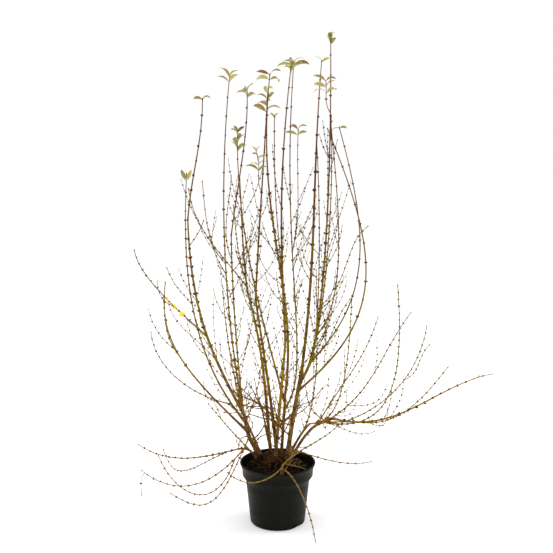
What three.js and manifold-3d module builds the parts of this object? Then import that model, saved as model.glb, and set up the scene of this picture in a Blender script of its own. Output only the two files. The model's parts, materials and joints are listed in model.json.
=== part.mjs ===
// A potted border forsythia in early spring: a many-stemmed shrub, bare but for a few young leaves
// and three flowers, standing in a black nursery container. Millimetres, +Z up. The origin is the
// centre of the container's flat underside, +X is to the right and -Y is the front.

import * as THREE from "three";
import { mergeVertices } from "three/addons/utils/BufferGeometryUtils.js";
import Module from "manifold-3d";

const wasm = await Module();
wasm.setup();

// Container: a 7.5 litre nursery pot, radii and heights from its underside
const POT = {
  height: 214,
  rim: 128,
  lipBottom: 190,
  band: 119.5,
  bandBottom: 170,
  shoulder: 107.5,
  shoulderBottom: 150,
  foot: 93,
  chamfer: 5,
  wall: 2.4,
  floor: 4,
  sides: 40,
};
const NOTCH = { height: 13, depth: 9, width: 56, azimuths: [-40, 140] };
const SOIL = { top: 195, edgeDrop: 5, flat: 86.5, overNotch: 7, inNotch: 78.3, slack: 0.7, aboveStep: 2 };

// Clearance between pieces that touch on the real plant
const GAP = 0.3;

// Fork seats: the gap, what counts as lying in the plane of a limb's foot, the least slope of a
// face that still faces the foot, and where between two corners the way to the parent is measured
const SEAT = { gap: 0.4, inPlane: 0.01, grazing: 0.3, samples: [0, 0.17, 0.33, 0.5] };

// Shape of the wood
const BEND = 0.36;
const FLARE = 0.75;
const FLARE_LENGTH = 13;
const FLARE_STEP = 2;
const LIMB = { sides: 6, steps: 9, stemSteps: 12, stemGrade: 1.7 };
const CANE = { sides: 5, step: 90, fewest: 4 };
const NODE_SPACING = { strong: 60, weak: 44, strongRadius: 3.1 };
const WOOD_STEPS = 24;

// Twigs: section, clearances, and the ranges of their size, of the angles in radians at which they
// leave and end, and of their length, which grows less from the foot of the shrub to its top
const TWIG = { sides: 3, steps: 3, radius: 1.3, point: 0.8, clear: 2, ownClear: 0.8 };
const TWIG_SIZE = { least: 0.35, most: 1 };
const TWIG_OPEN = { least: 0.6, most: 0.9 };
const TWIG_RISE = { least: 0.05, most: 0.4 };
const TWIG_REACH = { atGround: 330, fall: 0.18, least: 90, most: 260, leaving: 0.55 };

// Where the crown is twiggy: near its axis, and from just over the container to half its height
const TWIGGY = {
  x: -20,
  y: 45,
  inner: 110,
  outer: 280,
  low: 250,
  full: 360,
  thin: 560,
  top: 1020,
  most: 0.7,
  least: 0.04,
};
const CONTAINER_SPACE = { radius: 150, top: 222 };

// Stems: name, foot on the soil, tip, heading at the foot and at the tip (azimuth and lean in
// degrees, then the share of the length that the heading holds), radius at the foot and at the
// tip, and the share of the length that is bare wood before its twigs begin
const STEMS = [
  ["stem_left", [-42, 44], [-110, 40, 355], [165, 42], [180, 2], 8.0, 6.0, 1],
  ["stem_low_left", [-64, 32], [-130, -25, 268], [190, 30], [187, 95], 4.5, 3.4, 1],
  ["stem_middle_left", [-22, 66], [-100, 95, 775], [180, 5], [165, 16], 6.0, 3.4, 0.42],
  ["stem_middle", [-2, 86], [-75, 130, 745], [150, 6], [160, 9], 6.0, 3.4, 0.45],
  ["stem_middle_right", [-8, 34], [25, -60, 655], [290, 9], [300, 7], 6.0, 3.8, 0.5],
  ["stem_inner", [12, 54], [25, 10, 445], [330, 3], [290, 7], 5.6, 4.4, 1],
  ["stem_right", [30, 34], [80, 20, 525], [10, 7], [0, 10], 8.5, 6.2, 1],
  ["stem_low_right", [28, 6], [190, -20, 372], [345, 32], [0, 88], 5.6, 4.2, 1],
  ["stem_front", [14, -80], [16, -84, 230], [280, 10], [290, 20], 4.4, 3.8, 1],
  ["stem_back_left", [-52, 74], [-120, 150, 330], [140, 30], [130, 40], 5.0, 3.6, 1],
  ["stem_back_right", [34, 78], [110, 130, 300], [30, 35], [40, 60], 5.0, 3.6, 1],
];

// Canes that grow on from a stem or another cane: name, parent, share of the parent's length where
// it starts, and then the same sizes as a stem. One that starts on its parent's bare wood has its
// own twigs, and one that starts among its parent's twigs is one of them.
const LEFT_CANES = [
  ["left_arch", "stem_left", 0.72, [-355, -150, 870], [200, 43, 0.6], [10, 6, 0.26], 4.4, 1.2, 0.3],
  ["left_arch_b", "left_arch", 0.42, [-370, -60, 790], [165, 42, 0.45], [180, 5, 0.3], 2.0, 1.0, 0],
  ["left_tall", "stem_left", 1, [-285, -90, 1060], [196, 27], [190, 1, 0.4], 5.2, 2.4, 0.48],
  ["left_tall_top", "left_tall", 1, [-230, -150, 1445], [340, 5], [0, 1], 2.4, 1.1, 0],
  ["left_tall_b", "left_tall", 0.9, [-235, -110, 1060], [30, 40], [30, 20], 1.5, 0.9, 0],
  ["left_back", "stem_left", 0.9, [-310, 230, 1160], [155, 44], [60, 6], 4.2, 1.1, 0.22],
  ["left_back_b", "left_back", 0.5, [-385, 260, 825], [165, 45], [180, 20], 1.6, 0.9, 0],
  ["left_low", "left_back", 0.07, [-440, 200, 610], [160, 85], [160, 6], 2.6, 1.0, 0],
  ["left_outer", "left_tall", 0.46, [-460, -60, 955], [190, 46, 0.5], [180, 8, 0.2], 2.6, 1.0, 0],
  ["left_inner", "stem_left", 0.84, [-155, 60, 1495], [110, 36, 0.12], [0, 6, 0.5], 4.4, 1.1, 0.28],
  ["left_inner_b", "left_inner", 0.58, [-250, 120, 1150], [150, 40], [160, 5], 1.8, 0.9, 0],
  ["left_front", "stem_left", 0.76, [-150, -30, 1000], [255, 40, 0.08], [270, 4, 0.4], 4.4, 2.2, 0.4],
  ["left_front_top", "left_front", 1, [-95, -90, 1460], [330, 9, 0.5], [180, 1, 0.28], 2.2, 1.1, 0],
  ["droop_back", "stem_low_left", 1, [-480, 90, 240], [170, 108], [165, 60], 2.6, 1.0, 0],
  ["droop_back_b", "droop_back", 0.1, [-410, 250, 160], [150, 120, 0.5], [140, 25], 2.0, 1.0, 0],
  ["droop_left", "stem_low_left", 0.85, [-450, -100, 220], [200, 137, 0.5], [185, 48, 0.42], 2.6, 1.0, 0],
  ["droop_left_b", "droop_left", 0.97, [-452, -112, 140], [210, 120], [200, 175], 1.1, 0.8, 0],
  ["droop_left_c", "droop_left", 0.08, [-380, -230, 320], [215, 158, 0.62], [200, 20, 0.5], 2.2, 1.0, 0],
  ["droop_near", "stem_left", 0.6, [-345, -210, 185], [236, 136, 0.62], [200, 50, 0.5], 2.4, 1.0, 0],
  ["budded_left", "stem_low_left", 0.6, [-220, -200, 485], [235, 45], [220, 38], 2.4, 1.0, 0],
  ["budded_left_b", "budded_left", 0.7, [-205, -160, 485], [180, 10], [200, 10], 1.4, 0.9, 0],
];
const MIDDLE_CANES = [
  ["middle_left_top", "stem_middle_left", 1, [-130, 280, 1135], [110, 25], [100, 20], 3.2, 1.1, 0],
  ["middle_left_b", "middle_left_top", 0.1, [-155, 330, 1035], [130, 30], [110, 20], 2.2, 1.0, 0],
  ["middle_left_c", "middle_left_top", 0.05, [-305, 250, 1105], [140, 48], [150, 8], 2.2, 1.0, 0],
  ["centre_back", "stem_inner", 0.9, [-135, 190, 1280], [140, 20], [90, 4], 4.2, 1.1, 0.22],
  ["middle_top", "stem_middle", 1, [-35, 160, 1415], [60, 5], [0, 3], 3.3, 1.1, 0],
  ["middle_b", "middle_top", 0.55, [-65, 140, 1220], [150, 35], [170, 10], 1.4, 0.9, 0],
  ["centre", "stem_inner", 1, [-25, -30, 1510], [0, 7], [0, 6, 0.45], 4.4, 1.1, 0.2],
  ["middle_right_top", "stem_middle_right", 1, [40, -170, 1545], [250, 8], [310, 10, 0.4], 3.7, 1.1, 0],
  ["middle_right_b", "middle_right_top", 0.24, [-10, -190, 1395], [220, 8], [280, 5], 2.2, 1.0, 0],
  ["front_right", "stem_front", 1, [195, -200, 415], [345, 38, 0.3], [330, 42], 2.6, 1.0, 0],
  ["front_left", "stem_front", 0.86, [-160, -210, 255], [250, 92, 0.4], [170, 50, 0.45], 2.2, 1.0, 0],
  ["front_droop", "stem_front", 0.6, [120, -290, 57], [290, 74, 0.4], [305, 165, 0.4], 2.2, 1.0, 0],
  ["back_left_up", "stem_back_left", 1, [-200, 430, 700], [110, 45], [110, 15], 3.0, 1.0, 0],
  ["back_left_low", "stem_back_left", 0.85, [-60, 480, 420], [80, 80], [80, 35], 2.6, 1.0, 0],
];
const RIGHT_CANES = [
  ["right_inner", "stem_inner", 0.8, [50, 40, 1530], [10, 34, 0.14], [0, 4, 0.55], 3.8, 1.1, 0],
  ["right_inner_b", "right_inner", 0.62, [65, -20, 1335], [300, 25], [0, 3], 1.4, 0.9, 0],
  ["right_upright", "stem_right", 1, [145, 190, 1540], [52, 12, 0.4], [65, 11, 0.4], 5.0, 1.1, 0.2],
  ["right_leaning", "stem_right", 0.9, [165, -20, 1635], [320, 38, 0.12], [180, 1, 0.45], 5.4, 1.1, 0.3],
  ["right_leaning_b", "right_leaning", 0.84, [152, -20, 1480], [180, 40], [180, 5], 1.3, 0.9, 0],
  ["right_back", "right_leaning", 0.2, [175, 150, 1360], [60, 40, 0.12], [190, 4], 3.0, 1.1, 0],
  ["right_near", "right_leaning", 0.085, [120, -150, 1310], [300, 38, 0.12], [200, 4], 2.8, 1.0, 0],
  ["right_near_b", "right_near", 0.06, [175, -150, 815], [340, 30], [0, 15], 1.6, 0.9, 0],
  ["right_near_c", "right_near", 0.04, [230, -90, 800], [350, 50], [0, 35], 1.6, 0.9, 0],
  ["right_mid", "right_leaning", 0.25, [170, 60, 1370], [10, 40, 0.23], [195, 6], 2.8, 1.0, 0],
  ["right_mid_b", "right_mid", 0.28, [300, 120, 1000], [20, 35], [30, 60], 1.6, 0.9, 0],
  ["right_arch", "stem_right", 0.8, [155, -120, 1350], [320, 48, 0.5], [160, 24, 0.5], 4.2, 1.1, 0.3],
  ["right_arch_in", "right_leaning", 0.12, [200, 70, 1335], [20, 48, 0.39], [185, 16, 0.45], 3.4, 1.1, 0],
  ["low_right_far", "stem_low_right", 0.75, [360, 350, 625], [62, 64, 0.5], [50, 30], 2.8, 1.0, 0],
  ["low_right_front", "stem_low_right", 0.7, [225, -300, 850], [300, 62, 0.32], [280, 8, 0.4], 2.8, 1.0, 0],
  ["low_right_near", "stem_low_right", 0.82, [375, -190, 870], [325, 88, 0.5], [190, 5, 0.45], 2.8, 1.0, 0],
  ["low_right_back", "stem_low_right", 0.93, [460, 200, 680], [45, 78, 0.48], [30, 45], 2.8, 1.0, 0],
  ["low_right_tip", "stem_low_right", 1, [720, 40, 510], [355, 103, 0.4], [10, 82], 3.6, 1.1, 0],
  ["low_right_b", "low_right_tip", 0.12, [540, -180, 600], [340, 92], [350, 35], 2.4, 1.0, 0],
  ["low_right_c", "low_right_tip", 0.06, [500, 60, 670], [10, 73, 0.45], [15, 8, 0.3], 2.4, 1.0, 0],
  ["low_right_d", "low_right_c", 0.5, [495, -60, 640], [340, 60], [350, 40], 1.4, 0.9, 0],
  ["droop_right", "stem_low_right", 0.25, [310, -60, 235], [330, 95], [10, 82], 2.6, 1.0, 0],
  ["back_right", "stem_back_right", 1, [340, 150, 305], [10, 85], [0, 85], 2.6, 1.0, 0],
  ["back_right_b", "back_right", 0.1, [345, 260, 225], [40, 95], [30, 80], 1.8, 0.9, 0],
  ["back_right_up", "stem_back_right", 0.8, [140, 430, 780], [70, 60], [90, 15], 3.0, 1.0, 0],
];
const CANES = [...LEFT_CANES, ...MIDDLE_CANES, ...RIGHT_CANES];

// Young leaves at the tips: cane, opposite pairs, length of the largest leaf, elevation of the
// lowest pair, and azimuth of the lowest pair, in degrees
const TUFTS = [
  ["left_tall_top", 1, 26, 20, 175],
  ["left_back", 1, 40, 68, 185],
  ["left_inner", 2, 42, 40, 175],
  ["left_front_top", 2, 42, 30, 170],
  ["centre_back", 4, 46, 40, 160],
  ["middle_top", 4, 50, 25, 185],
  ["middle_b", 4, 42, 25, 170],
  ["centre", 2, 44, 15, 180],
  ["middle_right_top", 3, 46, 35, 170],
  ["middle_right_b", 1, 20, 45, 200],
  ["right_inner", 3, 46, 20, 20],
  ["right_inner_b", 2, 36, 20, 190],
  ["right_upright", 1, 30, 40, 10],
  ["right_leaning", 2, 42, 40, 185],
  ["right_leaning_b", 3, 46, 20, 165],
  ["right_arch_in", 1, 24, 10, 180],
];
const LEAF = {
  below: 3,
  between: 12,
  shrink: 0.78,
  lift: 16,
  width: 0.26,
  thick: 1.1,
  stalk: 0.9,
  widest: 0.48,
  droop: 0.1,
  clear: 1,
};

// Open flowers on the outer left cane: shares of its length, and the petals of each with their
// length, width as a share of it, thickness, azimuth of the first, turn from flower to flower, and
// lean from upright
const FLOWERS = {
  cane: "left_outer",
  at: [0.26, 0.36, 0.44],
  petals: 4,
  length: 9,
  width: 0.5,
  thick: 0.9,
  azimuth: 45,
  turn: 30,
  lean: 65,
};

const COLOURS = { wood: 0x6f5632, cane: 0x5c4a33, pot: 0x1d1f1e, soil: 0x2b1c14 };

const UP = new THREE.Vector3(0, 0, 1);

function heading(azimuth, lean) {
  const a = THREE.MathUtils.degToRad(azimuth);
  const l = THREE.MathUtils.degToRad(lean);
  return new THREE.Vector3(Math.sin(l) * Math.cos(a), Math.sin(l) * Math.sin(a), Math.cos(l));
}

// The Park-Miller rule, so that any language can grow the same shrub again
class Seeded {
  constructor(seed) {
    this.state = seed * 7919;
    for (let i = 0; i < 3; i += 1) {
      this.next();
    }
  }

  next() {
    this.state = (this.state * 48271) % 2147483647;
    return this.state / 2147483647;
  }

  between(low, high) {
    return low + (high - low) * this.next();
  }
}

function limits(value, low, high) {
  return Math.min(high, Math.max(low, value));
}

// The part of a cubic curve between two shares of it
function cut(curve, from, to) {
  const span = (to - from) / 3;
  const slope = (t) => {
    const { v0, v1, v2, v3 } = curve;
    const u = 1 - t;
    const out = new THREE.Vector3();
    out.addScaledVector(v1.clone().sub(v0), 3 * u * u);
    out.addScaledVector(v2.clone().sub(v1), 6 * u * t);
    return out.addScaledVector(v3.clone().sub(v2), 3 * t * t);
  };
  const start = curve.getPoint(from);
  const end = curve.getPoint(to);
  const leave = start.clone().addScaledVector(slope(from), span);
  const arrive = end.clone().addScaledVector(slope(to), -span);
  return new THREE.CubicBezierCurve3(start, leave, arrive, end);
}

// One stem or cane: a cubic curve that leaves its foot and reaches its tip on stated headings
class Cane {
  constructor(name, index, parent, at, foot, tip, start, end, radius, point, bare) {
    const [startAzimuth, startLean, startBend = BEND] = start;
    const [endAzimuth, endLean, endBend = BEND] = end;
    this.name = name;
    this.index = index;
    this.parent = parent;
    this.radius = radius;
    this.point = point;
    this.bare = bare;
    this.fused = parent !== null && parent.bare < 1 && at >= parent.bare;
    this.mass = this.fused ? parent.mass : name.replace("stem_", "");
    const leave = heading(startAzimuth, startLean);
    const arrive = heading(endAzimuth, endLean);
    const first = parent === null ? foot : this.seat(parent, at, leave);
    const last = new THREE.Vector3(...tip);
    const reach = first.distanceTo(last);
    this.curve = new THREE.CubicBezierCurve3(
      first,
      first.clone().addScaledVector(leave, startBend * reach),
      last.clone().addScaledVector(arrive, -endBend * reach),
      last,
    );
  }

  // Where this cane starts: on its parent's axis when it is fused to it, else just clear of the bark
  seat(parent, at, leave) {
    const axis = parent.axisAt(at);
    if (this.fused) return axis;
    const along = parent.curve.getTangent(at);
    const cos = Math.abs(along.dot(leave));
    const sin = Math.sqrt(Math.max(0.01, 1 - cos * cos));
    if (at === 1) return axis.addScaledVector(along, GAP + this.radius * sin);
    return axis.addScaledVector(leave, (parent.radiusAt(at) + GAP + this.radius * cos) / sin);
  }

  radiusAt(t) {
    return this.radius + (this.point - this.radius) * t;
  }

  // The straight stretches of the two solids: the bare limb, then the part that bears twigs
  stretches() {
    const length = this.curve.getLength();
    const from = this.bare > 0 ? this.bare + GAP / length : 0;
    const limb = { from: 0, to: this.bare, steps: LIMB.steps, grade: 1 };
    if (this.parent === null) Object.assign(limb, { steps: LIMB.stemSteps, grade: LIMB.stemGrade });
    const steps = Math.max(CANE.fewest, Math.round(length * (1 - from) / CANE.step));
    return { limb, twiggy: { from, to: 1, steps, grade: 1 } };
  }

  // The middle of the solid at a share of the cane: a place on the chord between two rings
  axisAt(t) {
    const { limb, twiggy } = this.stretches();
    const { from, to, steps, grade } = t <= this.bare ? limb : twiggy;
    const place = limits((t - from) / (to - from), 0, 1) ** (1 / grade) * steps;
    const ring = Math.min(steps - 1, Math.floor(place + 1e-9));
    const shareOf = (k) => from + (to - from) * (k / steps) ** grade;
    const [low, high] = [shareOf(ring), shareOf(ring + 1)];
    const mix = limits((t - low) / (high - low), 0, 1);
    return this.curve.getPoint(low).lerp(this.curve.getPoint(high), mix);
  }
}

// A closed tapering tube along a curve: a cylinder whose rings are moved onto the curve
function tube(curve, radiusAt, sides, steps, grade = 1) {
  const shape = new THREE.CylinderGeometry(1, 1, 1, sides, steps);
  shape.deleteAttribute("normal");
  shape.deleteAttribute("uv");
  const flat = grade > 1;
  const frames = curve.computeFrenetFrames(steps, false);
  const places = shape.getAttribute("position");
  const base = curve.getPoint(0);
  for (let i = 0; i < places.count; i += 1) {
    const ring = Math.round((places.getY(i) + 0.5) * steps);
    const t = (ring / steps) ** grade;
    const place = curve.getPoint(t);
    const radius = radiusAt(t);
    const across = flat && ring === 0 ? new THREE.Vector3(1, 0, 0) : frames.normals[ring];
    const along = flat && ring === 0 ? UP : curve.getTangent(t);
    const side = across.clone().projectOnPlane(along).normalize();
    const beside = side.clone().cross(along);
    place.addScaledVector(side, places.getX(i) * radius);
    place.addScaledVector(beside, places.getZ(i) * radius);
    if (flat) place.z = Math.max(place.z, base.z + FLARE_STEP * ring);
    places.setXYZ(i, place.x, place.y, place.z);
  }
  return mergeVertices(shape, 1e-4);
}

function solid(geometry) {
  const flat = new wasm.Mesh({
    numProp: 3,
    vertProperties: new Float32Array(geometry.getAttribute("position").array),
    triVerts: new Uint32Array(geometry.getIndex().array),
  });
  return new wasm.Manifold(flat);
}

function geometryOf(body) {
  const mesh = body.getMesh();
  const geometry = new THREE.BufferGeometry();
  geometry.setAttribute("position", new THREE.BufferAttribute(mesh.vertProperties, 3));
  geometry.setIndex(new THREE.BufferAttribute(mesh.triVerts, 1));
  geometry.computeVertexNormals();
  return geometry;
}

// A blade of ten faces: a stalk sunk into the wood, a ridge along the middle and a point
function blade(base, out, size, width, thick, stalk, widest, droop) {
  const side = new THREE.Vector3().crossVectors(UP, out).normalize();
  const top = new THREE.Vector3().crossVectors(out, side).normalize();
  const middle = base.clone().addScaledVector(out, size * widest);
  const tip = base.clone().addScaledVector(out, size).addScaledVector(UP, -size * droop);
  const corner = (centre, across, rise) => {
    return centre.clone().addScaledVector(side, across).addScaledVector(top, rise);
  };
  const corners = [
    corner(base, stalk, -stalk / 2),
    corner(base, -stalk, -stalk / 2),
    corner(base, 0, stalk),
    corner(middle, width / 2, -thick / 3),
    corner(middle, -width / 2, -thick / 3),
    corner(middle, 0, thick * 2 / 3),
    tip,
  ];
  const geometry = new THREE.BufferGeometry().setFromPoints(corners);
  const stem = [0, 1, 2, 0, 3, 1, 3, 4, 1, 1, 4, 2, 4, 5, 2, 2, 5, 0, 5, 3, 0];
  const point = [3, 6, 4, 4, 6, 5, 5, 6, 3];
  geometry.setIndex([...stem, ...point]);
  return geometry;
}

// Nearest distance between two straight pieces of wood, from axis to axis
function between(p, q) {
  const d1 = p.b.clone().sub(p.a);
  const d2 = q.b.clone().sub(q.a);
  const r = p.a.clone().sub(q.a);
  const a = d1.lengthSq();
  const e = d2.lengthSq();
  const f = d2.dot(r);
  const c = d1.dot(r);
  const b = d1.dot(d2);
  const det = a * e - b * b;
  let s = det > 1e-9 ? limits((b * f - c * e) / det, 0, 1) : 0;
  const t = limits((b * s + f) / e, 0, 1);
  s = limits((b * t - c) / a, 0, 1);
  return p.a.clone().addScaledVector(d1, s).distanceTo(q.a.clone().addScaledVector(d2, t));
}

// The straight pieces that a curve is near enough to, for telling what is close to it
function pieces(curve, steps, radiusAt, node, owner) {
  const out = [];
  for (let i = 0; i < steps; i += 1) {
    const a = curve.getPoint(i / steps);
    const b = curve.getPoint((i + 1) / steps);
    out.push({ a, b, radius: radiusAt(i / steps), node, owner });
  }
  return out;
}

function growCanes() {
  const grown = new Map();
  for (const [name, [x, y], tip, start, end, radius, point, bare] of STEMS) {
    const foot = new THREE.Vector3(x, y, SOIL.top + GAP);
    grown.set(name, new Cane(name, grown.size + 1, null, 0, foot, tip, start, end, radius, point, bare));
  }
  for (const [name, parent, at, tip, start, end, radius, point, bare] of CANES) {
    const base = grown.get(parent);
    grown.set(name, new Cane(name, grown.size + 1, base, at, null, tip, start, end, radius, point, bare));
  }
  return grown;
}

const canes = growCanes();
const wood = [];
for (const cane of canes.values()) {
  const along = pieces(cane.curve, WOOD_STEPS, (t) => cane.radiusAt(t), cane.mass, cane);
  for (const [i, piece] of along.entries()) {
    if (i / WOOD_STEPS < cane.bare) piece.node = `limb ${cane.name}`;
    wood.push(piece);
  }
}

// How likely a bud at this place has grown into a twig
function twigChance(place) {
  const off = Math.hypot(place.x - TWIGGY.x, place.y - TWIGGY.y);
  const near = limits((TWIGGY.outer - off) / (TWIGGY.outer - TWIGGY.inner), TWIGGY.least, 1);
  const low = limits((place.z - TWIGGY.low) / (TWIGGY.full - TWIGGY.low), 0, 1);
  const high = limits((TWIGGY.top - place.z) / (TWIGGY.top - TWIGGY.thin), 0, 1);
  return TWIGGY.most * near * low * high;
}

// A twig leaves its cane at about 45 degrees and curves up towards the light
function twigCurve(base, along, side, length, open, rise) {
  const turned = (from, angle) => {
    return from.clone().multiplyScalar(Math.cos(angle)).addScaledVector(side, Math.sin(angle)).normalize();
  };
  const leave = turned(along, open);
  const arrive = turned(UP, rise);
  const tip = base.clone().addScaledVector(leave, length * TWIG_REACH.leaving);
  tip.addScaledVector(arrive, length * (1 - TWIG_REACH.leaving));
  return new THREE.CubicBezierCurve3(
    base,
    base.clone().addScaledVector(leave, length * BEND),
    tip.clone().addScaledVector(arrive, -length * BEND),
    tip,
  );
}

// Whether a new piece of wood keeps its distance from all that is there already
function isClear(candidate, cane, mass) {
  for (const [i, piece] of candidate.entries()) {
    const inContainer = Math.hypot(piece.b.x, piece.b.y) < CONTAINER_SPACE.radius;
    if (inContainer && piece.b.z < CONTAINER_SPACE.top) return false;
    for (const other of wood) {
      if (other.owner === cane && i === 0) continue;
      if (i === 0 && other.owner === cane.parent && cane.fused) continue;
      const room = other.node === mass ? TWIG.ownClear : TWIG.clear;
      if (between(piece, other) < piece.radius + other.radius + room) return false;
    }
  }
  return true;
}

// Opposite buds at every node, each pair turned by a right angle from the pair below it
function growTwigs(cane) {
  const random = new Seeded(cane.index);
  const strong = cane.radius > NODE_SPACING.strongRadius;
  const spacing = strong ? NODE_SPACING.strong : NODE_SPACING.weak;
  const length = cane.curve.getLength();
  const count = Math.floor(length / spacing);
  const turn = random.between(0, Math.PI);
  const grown = [];
  for (let k = 1; k < count; k += 1) {
    const t = cane.curve.getUtoTmapping(k / count);
    const base = cane.axisAt(t);
    const along = cane.curve.getTangent(t);
    const level = new THREE.Vector3(along.y, -along.x, 0.001).normalize();
    for (const half of [0, Math.PI]) {
      const draw = random.next();
      const size = random.between(TWIG_SIZE.least, TWIG_SIZE.most);
      const open = random.between(TWIG_OPEN.least, TWIG_OPEN.most);
      const rise = random.between(TWIG_RISE.least, TWIG_RISE.most);
      if (t < cane.bare || draw > twigChance(base)) continue;
      const side = level.clone().applyAxisAngle(along, turn + k * Math.PI / 2 + half);
      const full = TWIG_REACH.atGround - base.z * TWIG_REACH.fall;
      const reach = size * limits(full, TWIG_REACH.least, TWIG_REACH.most);
      const curve = twigCurve(base, along, side, reach, open, rise);
      const radiusAt = (u) => TWIG.radius + (TWIG.point - TWIG.radius) * u;
      const candidate = pieces(curve, TWIG.steps, radiusAt, cane.mass, curve);
      if (!isClear(candidate, cane, cane.mass)) continue;
      wood.push(...candidate);
      grown.push({ curve, radiusAt });
    }
  }
  return grown;
}

// Leaf pairs from the tip down, each pair larger, flatter and a right angle round from the last
function growLeaves([name, pairs, size, elevation, azimuth]) {
  const cane = canes.get(name);
  const length = cane.curve.getLength();
  const grown = [];
  for (let k = 0; k < pairs; k += 1) {
    const fromLowest = pairs - 1 - k;
    const back = LEAF.below + LEAF.between * k;
    const base = cane.axisAt(cane.curve.getUtoTmapping(1 - back / length));
    for (const half of [0, 180]) {
      const out = heading(azimuth + half + 90 * fromLowest, 90 - elevation - LEAF.lift * fromLowest);
      const reach = size * LEAF.shrink ** fromLowest;
      const tip = base.clone().addScaledVector(out, reach);
      const candidate = { a: base, b: tip, radius: reach * LEAF.width / 2, node: cane.mass, owner: cane };
      const touches = (other) => {
        const room = candidate.radius + other.radius + LEAF.clear;
        return other.node !== cane.mass && between(candidate, other) < room;
      };
      if (wood.some(touches)) continue;
      wood.push(candidate);
      const width = reach * LEAF.width;
      grown.push(blade(base, out, reach, width, LEAF.thick, LEAF.stalk, LEAF.widest, LEAF.droop));
    }
  }
  return grown;
}

function growFlowers() {
  const cane = canes.get(FLOWERS.cane);
  const grown = [];
  for (const [i, at] of FLOWERS.at.entries()) {
    const base = cane.axisAt(at);
    for (let k = 0; k < FLOWERS.petals; k += 1) {
      const azimuth = FLOWERS.azimuth + i * FLOWERS.turn + 360 * k / FLOWERS.petals;
      const out = heading(azimuth, FLOWERS.lean);
      const width = FLOWERS.length * FLOWERS.width;
      grown.push(blade(base, out, FLOWERS.length, width, FLOWERS.thick, LEAF.stalk, LEAF.widest, 0));
    }
  }
  return grown;
}

function material(colour, roughness) {
  return new THREE.MeshStandardMaterial({ color: colour, roughness, metalness: 0 });
}

function addPiece(group, name, geometry, look) {
  const mesh = new THREE.Mesh(geometry, look);
  mesh.name = name;
  group.add(mesh);
}

// Draws the foot of a side limb back along its own line until it is just clear of its parent
function seated(cane, geometry) {
  if (cane.parent === null || cane.fused) return geometry;
  const parent = [new THREE.Mesh(limbGeometry(cane.parent))];
  if (cane.parent.bare < 1) parent.push(new THREE.Mesh(caneGeometry(cane.parent)));
  const base = cane.curve.getPoint(0);
  const back = cane.curve.getTangent(0).negate();
  const places = geometry.getAttribute("position");
  const foot = [];
  for (let i = 0; i < places.count; i += 1) {
    const place = new THREE.Vector3().fromBufferAttribute(places, i);
    if (Math.abs(place.clone().sub(base).dot(back)) < SEAT.inPlane) foot.push({ i, place });
  }
  const rooms = [];
  for (const { place: a } of foot) {
    for (const { place: b } of foot) {
      for (const share of SEAT.samples) {
        const [hit] = new THREE.Raycaster(a.clone().lerp(b, share), back).intersectObjects(parent);
        if (!hit) continue;
        const facing = Math.max(SEAT.grazing, -hit.face.normal.dot(back));
        rooms.push(hit.distance - SEAT.gap / facing);
      }
    }
  }
  for (const { i, place } of foot) {
    place.addScaledVector(back, Math.min(...rooms));
    places.setXYZ(i, place.x, place.y, place.z);
  }
  return geometry;
}

// The bare share of a stem or cane, one tapering limb with a flat cut at each end
function limbGeometry(cane) {
  const curve = cut(cane.curve, 0, cane.bare);
  const isStem = cane.parent === null;
  const flare = isStem ? FLARE * cane.radius : 0;
  const fade = curve.getLength() / FLARE_LENGTH;
  const radiusAt = (t) => cane.radiusAt(t * cane.bare) + flare * Math.exp(-t * fade);
  const { steps, grade } = cane.stretches().limb;
  return seated(cane, tube(curve, radiusAt, LIMB.sides, steps, grade));
}

// The rest of a cane, which bears its twigs
function caneGeometry(cane) {
  const { from, steps } = cane.stretches().twiggy;
  const curve = cut(cane.curve, from, 1);
  const shape = tube(curve, (t) => cane.radiusAt(from + (1 - from) * t), CANE.sides, steps);
  return cane.bare === 0 ? seated(cane, shape) : shape;
}

function massGeometries() {
  const parts = new Map();
  const add = (mass, body) => parts.set(mass, [...(parts.get(mass) ?? []), body]);
  for (const cane of canes.values()) {
    if (cane.bare < 1) add(cane.mass, solid(caneGeometry(cane)));
  }
  for (const tuft of TUFTS) {
    for (const leaf of growLeaves(tuft)) add(canes.get(tuft[0]).mass, solid(leaf));
  }
  for (const petal of growFlowers()) add(canes.get(FLOWERS.cane).mass, solid(petal));
  for (const cane of canes.values()) {
    if (cane.bare === 1) continue;
    for (const { curve, radiusAt } of growTwigs(cane)) {
      add(cane.mass, solid(tube(curve, radiusAt, TWIG.sides, TWIG.steps)));
    }
  }
  return parts;
}

function potGeometry() {
  const outer = [
    [0, 0],
    [POT.foot - POT.chamfer, 0],
    [POT.foot, POT.chamfer],
    [POT.shoulder, POT.shoulderBottom],
    [POT.band, POT.bandBottom],
    [POT.band + 0.8, POT.lipBottom],
    [POT.rim - 2, POT.height - 7],
    [POT.rim, POT.height - 3],
    [POT.rim - 1, POT.height],
  ];
  const inner = [
    [POT.rim - 1 - POT.wall, POT.height],
    [POT.band - POT.wall, POT.lipBottom],
    [POT.band - POT.wall, POT.bandBottom],
    [POT.shoulder - POT.wall, POT.shoulderBottom],
    [POT.foot - POT.wall, POT.floor],
    [0, POT.floor],
  ];
  return lathe([...outer, ...inner], POT.sides);
}

// A closed turned shape about the vertical axis, from its profile of radii and heights
function lathe(profile, sides) {
  const outline = profile.map(([radius, height]) => new THREE.Vector2(radius, height));
  const shape = new THREE.LatheGeometry(outline, sides);
  shape.deleteAttribute("normal");
  shape.deleteAttribute("uv");
  shape.rotateX(Math.PI / 2);
  const merged = mergeVertices(shape, 1e-4);
  return withoutSlivers(merged);
}

// Drops the faces of no area that a turned profile has where it meets its axis
function withoutSlivers(geometry) {
  const index = geometry.getIndex().array;
  const kept = [];
  for (let i = 0; i < index.length; i += 3) {
    const [a, b, c] = index.slice(i, i + 3);
    if (a !== b && b !== c && c !== a) kept.push(a, b, c);
  }
  geometry.setIndex(kept);
  return geometry;
}

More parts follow.
